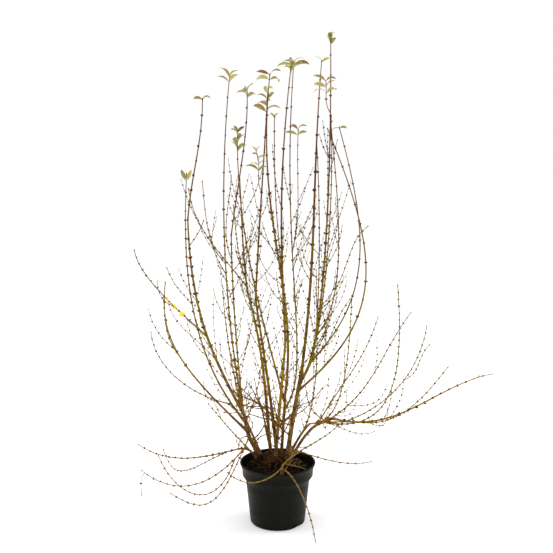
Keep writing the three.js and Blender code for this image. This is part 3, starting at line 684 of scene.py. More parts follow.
class Neighbours:
    """The wood that is there already, as straight pieces, for telling what is close to it."""

    def __init__(self, room: int = 12000) -> None:
        """Make room for a number of pieces."""
        self.rows = np.zeros((room, 9))
        self.count = 0

    def add(self, a: Array, b: Array, radius: float, node: int, owner: int) -> None:
        """Note one piece.

        Args:
            a: Its start.
            b: Its end.
            radius: Its radius.
            node: Number of the mass or limb that it belongs to.
            owner: Number of the cane or twig that it is part of.
        """
        self.rows[self.count] = (*a, *(b - a), radius, node, owner)
        self.count += 1

    def about(self) -> tuple[Array, Array, Array]:
        """Give the radius, the node and the owner of each piece."""
        return tuple(self.rows[:self.count, 6:].T)

    def distances(self, a: Array, b: Array) -> Array:
        """Measure from one straight piece to every other, from axis to axis.

        Args:
            a: Start of the piece.
            b: End of the piece.

        Returns:
            The distance to each piece, in order.
        """
        starts, spans = self.rows[:self.count, :3], self.rows[:self.count, 3:6]
        span = b - a
        off = a - starts
        aa = float(span @ span)
        ee = np.maximum(np.einsum("ij,ij->i", spans, spans), 1e-12)
        f = np.einsum("ij,ij->i", spans, off)
        c = off @ span
        across = spans @ span
        det = aa * ee - across * across
        s = np.where(det > 1e-15, np.clip((across * f - c * ee) / np.maximum(det, 1e-15), 0, 1), 0)
        t = np.clip((across * s + f) / ee, 0, 1)
        s = np.clip((across * t - c) / aa, 0, 1)
        return np.linalg.norm(a + span * s[:, None] - starts - spans * t[:, None], axis=1)


@dataclass
class Growth:
    """The whole shrub as curves: canes, twigs, finer twigs and the seats of leaves."""

    soil_top: float = 0.195
    pot_radius: float = 0.150
    pot_top: float = 0.222
    rule: TwigRule = TwigRule()
    twiggy: TwiggyPlace = TwiggyPlace()
    fine_twiggy: TwiggyPlace = TwiggyPlace(
        inner=0.13, outer=0.31, low=0.225, full=0.25, thin=0.96, top=1.18, most=1.0)
    on_canes: tuple[FineTwigs, ...] = (FineTwigs(0.075, (0.12, 0.30), 1.0 * MM, 0.6 * MM, 1),
                                       FineTwigs(0.12, (0.10, 0.26), 0.9 * MM, 0.6 * MM, 1, above=0.64),
                                       FineTwigs(0.02, (0.04, 0.09), 0.9 * MM, 0.5 * MM, 2))
    on_twigs: tuple[FineTwigs, ...] = (FineTwigs(0.06, (0.04, 0.09), 0.8 * MM, 0.5 * MM, 2),)
    on_old_wood: tuple[FineTwigs, ...] = (
        FineTwigs(0.16, (0.10, 0.28), 1.2 * MM, 0.7 * MM, 1),
        FineTwigs(0.20, (0.05, 0.12), 1.5 * MM, 0.9 * MM, 1, (0.7, 1.2), (0.3, 1.3), 0.44),
        FineTwigs(0.06, (0.02, 0.06), 1.0 * MM, 0.6 * MM, 2, (0.6, 1.2), (0.2, 1.2), 0.60))
    old_spacing: float = 0.026
    twig_joint: float = 0.023
    short_joints_below: float = 1.02
    # leaf pairs: the first below the tip, their spacing, and how each is smaller and steeper
    below_tip: float = 0.003
    pair_spacing: float = 0.012
    shrink: float = 0.78
    lift: float = 16
    leaf_width: float = 0.26
    # where the seeds of each sort of draw begin, and the numbers of fine canes and of twigs
    leaf_seed: int = 500
    tone_seed: int = 60
    turn_seed: int = 40
    twig_seed: int = 3000
    old_wood_seed: int = 7000
    fine_seed: int = 9000
    first_fine_cane: int = 200
    first_twig: int = 1000
    canes: dict[str, Cane] = field(default_factory=dict)
    shoots: list[Shoot] = field(default_factory=list)
    leaves: list[LeafSeat] = field(default_factory=list)
    stalks: list[Shoot] = field(default_factory=list)
    masses: dict[str, int] = field(default_factory=dict)
    wood: Neighbours = field(default_factory=Neighbours)

    def grow(self) -> None:
        """Grow everything in the order in which the solids grew."""
        self.grow_canes()
        self.note_canes()
        self.grow_leaves()
        for cane in self.canes.values():
            if cane.bare < 1:
                self.grow_twigs(cane)
        self.grow_fine_canes()
        self.grow_fine_twigs()
        self.shoots.extend(self.stalks)

    def mass_nodes(self) -> list[str]:
        """Name the record's masses of twigs."""
        return [node for node in (f"twigs_{mass}" for mass in self.masses) if node in frame["nodes"]]

    def in_pot(self, place: Array) -> bool:
        """Tell whether a place is in the pot."""
        return hypot(place[0], place[1]) < self.pot_radius and place[2] < self.pot_top

    def grow_canes(self) -> None:
        """Work out every stem and cane from its named sizes."""
        for name, foot, *sizes in STEMS:
            base = np.array((*foot, self.soil_top + 0.3 * MM))
            self.canes[name] = Cane(name, len(self.canes) + 1, None, 0, base, *sizes)
        for name, parent, at, *sizes in LEFT_CANES + MIDDLE_CANES + RIGHT_CANES:
            self.canes[name] = Cane(name, len(self.canes) + 1, self.canes[parent], at, None, *sizes)
        for cane in self.canes.values():
            self.masses.setdefault(cane.mass, len(self.masses))

    def note_canes(self) -> None:
        """Note the wood of every cane, its bare part apart from the part that bears twigs."""
        steps = self.rule.cane_steps
        for cane in self.canes.values():
            places = cane.curve.points(np.linspace(0, 1, steps + 1))
            for i in range(steps):
                node = -cane.index if i / steps < cane.bare else self.masses[cane.mass]
                self.wood.add(places[i], places[i + 1], cane.radius_at(i / steps), node, cane.index)

    def grow_leaves(self) -> None:
        """Seat leaf pairs from the tip down, each pair larger, flatter and a right angle round."""
        for name, pairs, size, elevation, azimuth in TUFTS:
            rise = 0.0025 * pairs - MM
            gather = self.pair_spacing if name in GATHERED_TUFTS else 0
            cane = self.canes[name]
            mass = self.masses[cane.mass]
            draws = Seeded(self.leaf_seed + cane.index)
            for k in range(pairs):
                rank = pairs - 1 - k
                along = 1 - (self.below_tip + self.pair_spacing * k) / cane.curve.length
                base = cane.curve.point(cane.curve.share_at(along))
                for half in (0, 180):
                    out = heading(azimuth + half + 90 * rank, 90 - elevation - self.lift * rank)
                    reach = size * self.shrink ** rank
                    draw = draws.next()
                    tip, wide = base + out * reach, reach * self.leaf_width / 2
                    radii, nodes, _ = self.wood.about()
                    touched = self.wood.distances(base, tip) < radii + wide + MM
                    if np.any(touched & (nodes != mass)):
                        continue
                    self.wood.add(base, tip, wide, mass, cane.index)
                    seat = base + cane.curve.tangent(1) * (rise * rank + gather * k)
                    self.leaves.append(LeafSeat(name, seat, out, reach, rank, draw))
            foot = cane.curve.point(cane.curve.share_at(1 - self.below_tip / cane.curve.length))
            up = cane.curve.tangent(1) * (rise * (pairs - 1) + self.below_tip)
            stalk = Curve(foot + up * share for share in (0, 1 / 3, 2 / 3, 1))
            self.stalks.append(Shoot(cane, stalk, 0, 1.3 * MM, 0.9 * MM, [], 2, 0.5))

    def is_clear(self, places: Array, radii: Array, cane: Cane) -> bool:
        """Tell whether a new twig keeps its distance from all that is there already.

        Args:
            places: Points along the twig.
            radii: Radius of each straight piece between them.
            cane: The cane that bears it.

        Returns:
            True if it is clear of everything.
        """
        others, nodes, owners = self.wood.about()
        own = nodes == self.masses[cane.mass]
        rooms = np.where(own, self.rule.own_clear, self.rule.clear) + others
        for i, radius in enumerate(radii):
            close = self.wood.distances(places[i], places[i + 1]) < rooms + radius
            if i == 0:
                close &= owners != cane.index
                if cane.fused:
                    close &= owners != cane.parent.index
            if self.in_pot(places[i + 1]) or np.any(close):
                return False
        return True

    def nodes_of(self, cane: Cane, turn: float, count: int) -> list[Node]:
        """Space a cane's nodes: the source's, and one between each two where its joints are short.

        Args:
            cane: The cane.
            turn: The turn of its buds about it, in radians.
            count: How many stretches the source's nodes divide it into.

        Returns:
            The nodes from the foot to the tip.
        """
        nodes = []
        for k in range(count):
            if k > 0:
                nodes.append(Node.at(cane.curve, k, count, turn))
            between = Node.at(cane.curve, k + 0.5, count, turn)
            low = cane.curve.point(between.share)[2] < self.short_joints_below
            if low and cane.name not in LONG_JOINTED:
                nodes.append(between)
        return nodes

    def grow_twigs(self, cane: Cane) -> None:
        """Grow a cane's twigs from opposite buds.

        Args:
            cane: The cane.
        """
        rule = self.rule
        draws = Seeded(cane.index)
        spacing = rule.strong_spacing if cane.radius > rule.strong_radius else rule.weak_spacing
        count = floor(cane.curve.length / spacing)
        turn = draws.between(0, pi)
        nodes = self.nodes_of(cane, turn, count)
        tone = Seeded(self.tone_seed + cane.index).next()
        shoot = Shoot(cane, cane.curve, cane.bare, cane.radius, cane.point, nodes, 0, tone)
        if cane.parent is not None and cane.bare == 0:
            shoot.root = cane.parent.curve.point(cane.at)
        self.shoots.append(shoot)
        radii = rule.radius + (rule.point - rule.radius) * (np.arange(rule.steps) / rule.steps)
        for node in (Node.at(cane.curve, k, count, turn) for k in range(1, count)):
            base = cane.curve.point(node.share)
            for half in (0, 1):
                draw = draws.next()
                size, open_, rise = [draws.between(*ends) for ends in (rule.size, rule.open, rule.rise)]
                if node.share < cane.bare or draw > self.twiggy.chance(base):
                    continue
                full = limits(rule.at_ground - base[2] * rule.fall, rule.least, rule.most)
                curve = rule.curve(shoot, node, half, size * full, open_, rise)
                places = curve.points(np.linspace(0, 1, rule.steps + 1))
                if self.is_clear(places, radii, cane):
                    for i, radius in enumerate(radii):
                        self.wood.add(places[i], places[i + 1], radius, self.masses[cane.mass],
                                      self.first_twig + len(self.shoots))
                    shoot.grown.add((node, half))
                    self.add_twig(curve, rule.radius, rule.point, cane, 1)

    def add_twig(self, curve: Curve, radius: float, point: float, cane: Cane, order: int) -> None:
        """Add a twig with buds along it.

        Args:
            curve: Its curve.
            radius: Its radius at its foot.
            point: Its radius at its tip.
            cane: The cane that bears it, at first or second hand.
            order: 1 for a twig, 2 for a finer one.
        """
        draws = Seeded(self.twig_seed + len(self.shoots))
        count = max(2, round(curve.length / (self.twig_joint * (1.05 - 0.1 * order))))
        turn = draws.between(0, pi)
        nodes = [Node.at(curve, k, count, turn) for k in range(1, count)]
        self.shoots.append(Shoot(cane, curve, 0, radius, point, nodes, order, draws.next()))

    def grow_fine_canes(self) -> None:
        """Grow the fine canes that have their own names, each from the axis of its parent."""
        grown = dict(self.canes)
        for name, parent, at, *sizes in FINE_CANES:
            cane = Cane(name, self.first_fine_cane + len(grown), grown[parent], at, None, *sizes)
            grown[name] = cane
            bearer = self.canes.get(parent, self.canes["stem_middle_left"])
            self.add_twig(cane.curve, cane.radius, cane.point, bearer, 1)
            self.shoots[-1].root = grown[parent].curve.point(at)

    def grow_fine_twigs(self) -> None:
        """Grow the finer twigs: from old bare wood, from canes, and short ones from the twigs."""
        for cane in self.canes.values():
            if cane.bare > 0 and cane.name != "stem_front":
                turn = Seeded(self.turn_seed + cane.index).between(0, pi)
                count = max(2, round(cane.curve.length * cane.bare / self.old_spacing))
                nodes = [Node(cane.bare * k / count, turn + k * pi / 2) for k in range(1, count)]
                old = Shoot(cane, cane.curve, 0, cane.radius, cane.point, nodes, 0, 0.5)
                self.branch(old, self.on_old_wood, Seeded(self.old_wood_seed + cane.index))
        for number, shoot in enumerate(self.shoots):
            if shoot.order < 2:
                sorts = self.on_twigs if shoot.order else self.on_canes
                self.branch(shoot, sorts, Seeded(self.fine_seed + number))

    def branch(self, shoot: Shoot, sorts: tuple[FineTwigs, ...], draws: Seeded) -> None:
        """Let some of a shoot's buds grow into finer twigs.

        Args:
            shoot: The shoot.
            sorts: The sorts of twig that it can bear.
            draws: The rule that deals them.
        """
        for node in shoot.nodes:
            base = shoot.curve.point(node.share)
            place = self.fine_twiggy.chance(base)
            hangs = shoot.curve.tangent(node.share)[2] < 0
            for half in (0, 1):
                draw, size, opening, rising = [draws.next() for _ in range(4)]
                if node.share < shoot.low or (node, half) in shoot.grown or hangs:
                    continue
                for sort in sorts:
                    if not sort.above < base[2] < sort.below:
                        continue
                    draw -= sort.chance * place
                    if draw < 0:
                        length = sort.length[0] + (sort.length[1] - sort.length[0]) * size * size
                        open_ = sort.open[0] + (sort.open[1] - sort.open[0]) * opening
                        rise = sort.rise[0] + (sort.rise[1] - sort.rise[0]) * rising
                        curve = self.rule.curve(shoot, node, half, length, open_, rise)
                        if self.is_inside(curve.point(1)):
                            shoot.grown.add((node, half))
                            self.add_twig(curve, sort.radius, sort.point, shoot.cane, sort.order)
                        break

    def is_inside(self, tip: Array) -> bool:
        """Tell whether a finer twig's tip stays within the shrub's reach and out of its pot."""
        low, high = np.array(CAD_BOX[0]) + 0.01, np.array(CAD_BOX[1]) - 0.01
        return bool(np.all(tip > low) and np.all(tip < high)) and not self.in_pot(tip)


class Tint(Enum):
    """The colours of forsythia wood from its foot to its youngest tips, then of the low front canes."""

    TAN = "#8f6b2e"
    GOLDEN = "#8f720a"
    OLIVE = "#806f05"
    OLIVE_BROWN = "#755706"
    CHESTNUT = "#674009"
    PLUM = "#583413"
    MAUVE = "#714e36"
    STRAW = "#84703a"

    @classmethod
    def at(cls, height: float, jitter: float) -> "Tint":
        """Deal the tint of a stretch of wood.

        Args:
            height: Its height over the pot's underside.
            jitter: A draw between zero and one.

        Returns:
            The tint.
        """
        heights = (0.20, 0.40, 0.66, 0.98, 1.17, 1.34, 1.56)
        age = float(np.interp(height, heights, range(len(heights)))) + jitter * 1.5 - 0.75
        return list(cls)[int(limits(round(age), 0, len(heights) - 1))]


class LeafTint(Enum):
    """The colours of the young leaves: of the blade and of its browned tip."""

    FRESH = ("#8f903c", "#875c2a")
    YELLOW = ("#b9ad55", "#aa6f30")
    BRONZED = ("#9d8138", "#7c4a22")
    DRY = ("#8c5a28", "#5a3016")

    @classmethod
    def dealt(cls, draw: float) -> "LeafTint":
        """Deal a tint by a draw between zero and one."""
        shares = (0.46, 0.80, 0.95, 1.0)
        return next(tint for tint, share in zip(cls, shares) if draw <= share)


@dataclass(frozen=True)
class Finish:
    """What every finish has: the name of its material and its main colour."""

    name: str
    colour: str

    def material(self) -> Material:
        """Make the material, each finish in its own way."""
        raise NotImplementedError


@dataclass(frozen=True)
class BlackPolypropylene(Finish):
    """Recycled black polypropylene, injection moulded: a satin skin, faintly dusty in patches."""

    name: str = "black_polypropylene_moulded"
    colour: str = "#030302"
    dust: str = "#13130e"
    cloud: float = 0.035
    # coarser than the real moulded grain, which is too fine to show
    grain: float = 1.4 * MM
    roughness: Range = (0.42, 0.56)

    def material(self) -> Material:
        """Make the material, clouded with dust and finely grained.

        Returns:
            The material.
        """
        coat = Coat(self.name)
        cloud = coat.add("TexNoise", {"Scale": 1 / self.cloud, "Detail": 4.0})
        dusty = coat.add("ValToRGB", {"stops": ((0.48, BLACK), (0.74, (0.5, 0.5, 0.5, 1))), "Fac": cloud})
        base = coat.add("MixRGB", {"Color1": linear(self.colour), "Color2": linear(self.dust), "Fac": dusty})
        rough = coat.add("MapRange", {
            "To Min": self.roughness[0], "To Max": self.roughness[1], "Value": cloud})
        grain = coat.add("TexNoise", {"Scale": 1 / self.grain, "Detail": 2.0})
        bump = coat.add("Bump", {"Strength": 0.25, "Distance": 0.12 * MM, "Height": grain})
        return coat.finished({"Base Color": base, "Roughness": rough, "Normal": bump, "IOR": 1.49,
                              "Specular IOR Level": 0.11, "Specular Tint": linear("#fdfdf1")})


@dataclass(frozen=True)
class BarkCompost(Finish):
    """Moist bark compost, milled: dark, also as painted shade, crumbly and without gloss, each sort of its
    own brown.
    """

    second: str
    crumb: float = 3.0 * MM

    def material(self) -> Material:
        """Make the material, mottled in two browns and pitted by crumbs.

        Returns:
            The material.
        """
        coat = Coat(self.name)
        crumbs = coat.add("TexVoronoi", {"Scale": 1 / self.crumb})
        tone = coat.add("TexNoise", {"Scale": 1 / (4 * self.crumb), "Detail": 5.0})
        base = coat.add("MixRGB", {"Color1": linear(self.colour), "Color2": linear(self.second), "Fac": tone})
        bump = coat.add("Bump", {"Strength": 0.8, "Distance": 1.2 * MM, "Height": crumbs})
        return coat.finished({"Base Color": base, "Normal": bump, "Roughness": 0.92,
                              "Specular IOR Level": 0.08})


@dataclass(frozen=True)
class StemBark(Finish):
    """Bark of old forsythia stems, grown: tan and finely ridged, with pale raised pores."""

    name: str = "forsythia_stem_bark"
    colour: str = "#835f34"
    pore_colour: str = "#b39a72"
    heights: Range = (0.20, 0.80)
    patch: float = 24 * MM
    ridge: float = 2.2 * MM
    stretch: float = 0.16
    pore: float = 5.5 * MM
    pore_stretch: float = 0.6

    def material(self) -> Material:
        """Make the material, which turns from tan at the foot to olive as the wood grows younger.

        Returns:
            The material.
        """
        coat = Coat(self.name)
        height = coat.add("SeparateXYZ", {}, "Z")
        low, high = self.heights
        age = coat.add("MapRange", {"From Min": low, "From Max": high, "Value": height})
        ages = coat.add("ValToRGB", {"Fac": age, "stops": (
            (0.0, linear(self.colour)), (0.3, linear(Tint.TAN.value)),
            (0.66, linear(Tint.GOLDEN.value)), (1.0, linear(Tint.OLIVE.value)))})
        clouds = coat.add("TexNoise", {"Scale": 1 / self.patch, "Detail": 3.0})
        patchy = coat.shade(ages, clouds, (0.36, linear("#a39484")), (0.6, WHITE))
        drawn = coat.add("Mapping", {"Scale": (1, 1, self.stretch)})
        streaks = coat.add("TexNoise", {
            "Scale": 1 / self.ridge, "Detail": 5.0, "Roughness": 0.6, "Vector": drawn})
        wood = coat.shade(patchy, streaks, (0.34, (0.40, 0.34, 0.28, 1)), (0.60, (1.18, 1.14, 1.04, 1)))
        flat = coat.add("Mapping", {"Scale": (1, 1, self.pore_stretch)})
        pores = coat.add("TexVoronoi", {"Scale": 1 / self.pore, "Vector": flat})
        spots = coat.add("ValToRGB", {"stops": ((0.14, WHITE), (0.24, BLACK)), "Fac": pores})
        base = coat.add("MixRGB", {"Fac": spots, "Color1": wood, "Color2": linear(self.pore_colour)})
        relief = coat.add("Math", {"operation": "ADD", 0: streaks, 1: spots})
        bump = coat.add("Bump", {"Strength": 0.7, "Distance": 0.5 * MM, "Height": relief})
        return coat.finished({"Base Color": base, "Normal": bump, "Roughness": 0.78,
                              "Specular IOR Level": 0.15})


@dataclass(frozen=True)
class YoungBark(Finish):
    """Bark of one- and two-year shoots, grown: smooth and waxy, freckled with tiny pores."""

    pore_colour: str = "#b3904e"
    mottle: float = 8 * MM
    pore: float = 3.2 * MM

    def material(self) -> Material:
        """Make the material, softly mottled and freckled.

        Returns:
            The material.
        """
        coat = Coat(self.name)
        tone = coat.add("TexNoise", {"Scale": 1 / self.mottle, "Detail": 3.0})
        wood = coat.shade(linear(self.colour), tone, (0.32, (0.78, 0.75, 0.72, 1)),
                          (0.66, (1.06, 1.05, 1.02, 1)))
        pores = coat.add("TexVoronoi", {"Scale": 1 / self.pore})
        spots = coat.add("ValToRGB", {"stops": ((0.12, (0.4, 0.4, 0.4, 1)), (0.20, BLACK)), "Fac": pores})
        base = coat.add("MixRGB", {"Fac": spots, "Color1": wood, "Color2": linear(self.pore_colour)})
        bump = coat.add("Bump", {"Strength": 0.4, "Distance": 0.15 * MM, "Height": spots})
        return coat.finished({"Base Color": base, "Normal": bump, "Roughness": 0.55,
                              "Specular IOR Level": 0.08})


@dataclass(frozen=True)
class BudScale(Finish):
    """Bud scales, grown: small overlapping dark brown scales with a dull shine."""

    scale: float = 1.6 * MM

    def material(self) -> Material:
        """Make the material, each scale dark at its middle and paler at its edge.

        Returns:
            The material.
        """
        coat = Coat(self.name)
        scales = coat.add("TexVoronoi", {"Scale": 1 / self.scale})
        base = coat.shade(linear(self.colour), scales, (0.1, (0.7, 0.66, 0.62, 1)),
                          (0.6, (1.25, 1.15, 1.05, 1)))
        bump = coat.add("Bump", {"Strength": 0.5, "Distance": 0.3 * MM, "Height": scales})
        return coat.finished({"Base Color": base, "Normal": bump, "Roughness": 0.6,
                              "Specular IOR Level": 0.06})


@dataclass(frozen=True)
class YoungLeaf(Finish):
    """A young leaf, grown: a faintly veined blade, mottled, with a soft shine."""

    mottle: float = 7 * MM
    veins: float = 3.2

    def material(self) -> Material:
        """Make the material, with veins that follow the blade.

        Returns:
            The material.
        """
        coat = Coat(self.name)
        flat = coat.add("UVMap", {"uv_map": "blade"})
        tone = coat.add("TexNoise", {"Scale": 1 / self.mottle, "Detail": 4.0})
        base = coat.shade(linear(self.colour), tone, (0.3, (0.78, 0.74, 0.62, 1)),
                          (0.68, (1.1, 1.08, 1.0, 1)))
        veins = coat.add("TexWave", {
            "Scale": self.veins, "Distortion": 0.6, "bands_direction": "X", "Vector": flat}, "Fac")
        bump = coat.add("Bump", {"Strength": 0.4, "Distance": 0.25 * MM, "Height": veins})
        return coat.finished({"Base Color": base, "Normal": bump, "Roughness": 0.5, "Sheen Weight": 0.15})


@dataclass(frozen=True)
class Petal(Finish):
    """A forsythia petal, grown: clear yellow with a silky, faintly uneven surface."""

    name: str = "forsythia_petal"
    colour: str = "#fff000"
    second: str = "#f7d800"
    mottle: float = 4 * MM

    def material(self) -> Material:
        """Make the material, mottled in two yellows.

        Returns:
            The material.
        """
        coat = Coat(self.name)
        tone = coat.add("TexNoise", {"Scale": 1 / self.mottle, "Detail": 2.0})
        base = coat.add("MixRGB", {"Color1": linear(self.colour), "Color2": linear(self.second), "Fac": tone})
        return coat.finished({"Base Color": base, "Roughness": 0.5, "Sheen Weight": 0.3})


@dataclass(frozen=True)
class StudioPaper(Finish):
    """Seamless studio paper, rolled out: near white and quite matte."""

    name: str = "studio_paper"
    colour: str = "#ffffff"

    def material(self) -> Material:
        """Make the material."""
        return Coat(self.name).finished({
            "Base Color": linear(self.colour), "Roughness": 0.95, "Specular IOR Level": 0.1})


def finish_piece(piece: Piece, finish: Finish, nodes: Iterable[str]) -> None:
    """Dress a piece, say what it replaces and let it ride on the shrub.

    Args:
        piece: The piece.
        finish: The finish that makes its material.
        nodes: The nodes that it stands for.
    """
    piece.data.materials.append(finish.material())
    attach(piece, BODY)
    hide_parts(*nodes)
    piece.data.calc_loop_triangles()
    count = len(piece.data.loop_triangles)
    LOG.info("%s: %d triangles, %s", piece.name, count, piece.data.materials[0].name)


def placed(name: str, data: bpy.types.ID) -> Piece:
    """Put a mesh, a lamp or a camera into the scene at the origin.

    Args:
        name: The object's name.
        data: What it shows.

    Returns:
        The object.
    """
    piece = bpy.data.objects.new(name, data)
    bpy.context.scene.collection.objects.link(piece)
    return piece


def mesh_of(shape: Shape, name: str) -> Mesh:
    """Turn a bmesh into a mesh.

    Args:
        shape: The bmesh, which is freed.
        name: The mesh's name.

    Returns:
        The mesh.
    """
    mesh = bpy.data.meshes.new(name)
    shape.to_mesh(mesh)
    shape.free()
    return mesh


def join_into(target: Shape, shape: Shape) -> None:
    """Add one bmesh to another.

    Args:
        target: The bmesh that grows.
        shape: The bmesh that is added, and freed.
    """
    mesh = mesh_of(shape, "joined")
    target.from_mesh(mesh)
    bpy.data.meshes.remove(mesh)


def smooth(mesh: Mesh, sharp: float) -> None:
    """Shade a mesh smooth, but for edges past an angle in degrees."""
    mesh.shade_smooth()
    mesh.set_sharp_from_angle(angle=radians(sharp))


def object_of(shape: Shape, name: str, sharp: float = 40) -> Piece:
    """Turn a bmesh into a smooth-shaded object at the origin.

    Args:
        shape: The bmesh, which is freed.
        name: The object's name.
        sharp: The angle in degrees past which an edge stays sharp.

    Returns:
        The object.
    """
    mesh = mesh_of(shape, name)
    smooth(mesh, sharp)
    return placed(name, mesh)


def turned_body(outline: Iterable[Range], sides: int) -> Shape:
    """Turn an outline about the upright axis into a closed body.

    Args:
        outline: Radii and heights from the axis round to it.
        sides: How many steps the turn takes.

    Returns:
        The body.
    """
    shape = bmesh.new()
    corners = [shape.verts.new((r, 0, z)) for r, z in outline]
    edges = [shape.edges.new(pair) for pair in zip(corners, corners[1:])]
    bmesh.ops.spin(shape, geom=corners + edges, cent=(0, 0, 0), axis=(0, 0, 1), angle=tau, steps=sides,
                   use_merge=True)
    bmesh.ops.remove_doubles(shape, verts=shape.verts, dist=0.01 * MM)
    bmesh.ops.recalc_face_normals(shape, faces=shape.faces)
    return shape


def rod(sides: int, radii: Range, cuts: int) -> Shape:
    """Make an upright rod, one long, that is cut across.

    Args:
        sides: How many sides it has.
        radii: Its radius at the foot and at the head.
        cuts: How many cuts there are between its ends.

    Returns:
        The rod.
    """
    shape = bmesh.new()
    bmesh.ops.create_cone(shape, cap_ends=True, segments=sides, radius1=radii[0], radius2=radii[1], depth=1)
    upright = [e for e in shape.edges if abs(e.verts[0].co.z - e.verts[1].co.z) > 0.5]
    bmesh.ops.subdivide_edges(shape, edges=upright, cuts=cuts, use_grid_fill=True)
    return shape


def frames(points: Array) -> tuple[Array, Array]:
    """Carry a pair of cross directions along a line without twisting them.

    Args:
        points: The line's points, one a row.

    Returns:
        Two unit vectors across the line at each point.
    """
    slopes = np.gradient(points, axis=0)
    slopes /= np.linalg.norm(slopes, axis=1)[:, None]
    side = unit(np.cross(slopes[0], (1.0, 0.0, 0.0) if abs(slopes[0][0]) < 0.9 else (0.0, 1.0, 0.0)))
    first = np.empty_like(points)
    for i, along in enumerate(slopes):
        side = unit(side - along * float(side @ along))
        first[i] = side
    return first, np.cross(slopes, first)


def rings_round(points: Array, radii: Array, sides: int) -> Array:
    """Set rings of corners round a line.

    Args:
        points: The line's points, one a row.
        radii: The radius at each point.
        sides: How many corners a ring has.

    Returns:
        Corners by ring, by side and by axis.
    """
    first, second = frames(points)
    angles = (np.arange(sides) * tau / sides)[None, :, None]
    ring = first[:, None, :] * np.cos(angles) + second[:, None, :] * np.sin(angles)
    return points[:, None, :] + ring * radii[:, None, None]


class JoinedMesh:
    """Many small closed shapes joined from arrays into one mesh."""

    def __init__(self) -> None:
        """Start empty."""
        self.corners: list[Array] = []
        self.loops: list[Array] = []
        self.counts: list[Array] = []
        self.smooth: list[Array] = []
        self.total = 0

    def add(self, corners: Array, loops: Array, counts: Array, smooth: Array) -> None:
        """Add one closed shape.

        Args:
            corners: Its corners, one a row.
            loops: The corner numbers of all its faces in turn.
            counts: How many corners each face has.
            smooth: Whether each face is smooth.
        """
        self.corners.append(corners)
        self.loops.append(loops + self.total)
        self.counts.append(counts)
        self.smooth.append(smooth)
        self.total += len(corners)

    def add_rings(self, rings: Array) -> None:
        """Add a tube through rings of corners, closed at both ends.

        Args:
            rings: Corners by ring, by side and by axis.
        """
        steps, sides, _ = rings.shape
        start = np.arange(steps - 1)[:, None] * sides + np.arange(sides)
        after = np.arange(steps - 1)[:, None] * sides + (np.arange(sides) + 1) % sides
        quads = np.stack((start, after, after + sides, start + sides), axis=-1).reshape(-1)
        foot = np.arange(sides)[::-1]
        head = np.arange(sides) + (steps - 1) * sides
        count = (steps - 1) * sides
        counts = np.concatenate((np.full(count, 4), (sides, sides)))
        smooth = np.concatenate((np.ones(count, bool), (False, False)))
        self.add(rings.reshape(-1, 3), np.concatenate((quads, foot, head)), counts, smooth)

    def stamp(self, pattern: Mesh, places: Array, axes: Array) -> None:
        """Add copies of one small shape.

        Args:
            pattern: The shape.
            places: Where the origin of each copy goes, one a row.
            axes: A 3 by 3 matrix for each copy, with the shape's scaled axes as its columns.
        """
        corners = np.array([v.co for v in pattern.vertices])
        loops = np.array([loop.vertex_index for loop in pattern.loops])
        counts = np.array([face.loop_total for face in pattern.polygons])
        n = len(places)
        moved = np.einsum("nij,vj->nvi", axes, corners) + places[:, None, :]
        offsets = np.arange(n)[:, None] * len(corners)
        smooth = np.ones(n * len(counts), bool)
        self.add(moved.reshape(-1, 3), (loops + offsets).reshape(-1), np.tile(counts, n), smooth)

    def object(self, name: str) -> Piece:
        """Make the object, which sits at the origin.

        Args:
            name: The object's name.

        Returns:
            The object.
        """
        corners = np.concatenate(self.corners).astype(np.float32)
        loops = np.concatenate(self.loops).astype(np.int32)
        counts = np.concatenate(self.counts)
        starts = np.concatenate(((0,), np.cumsum(counts)[:-1])).astype(np.int32)
        mesh = bpy.data.meshes.new(name)
        mesh.vertices.add(len(corners))
        mesh.loops.add(len(loops))
        mesh.polygons.add(len(counts))
        mesh.vertices.foreach_set("co", corners.reshape(-1))
        mesh.loops.foreach_set("vertex_index", loops)
        mesh.polygons.foreach_set("loop_start", starts)
        mesh.polygons.foreach_set("use_smooth", np.concatenate(self.smooth))
        mesh.update(calc_edges=True)
        mesh.validate()
        return placed(name, mesh)


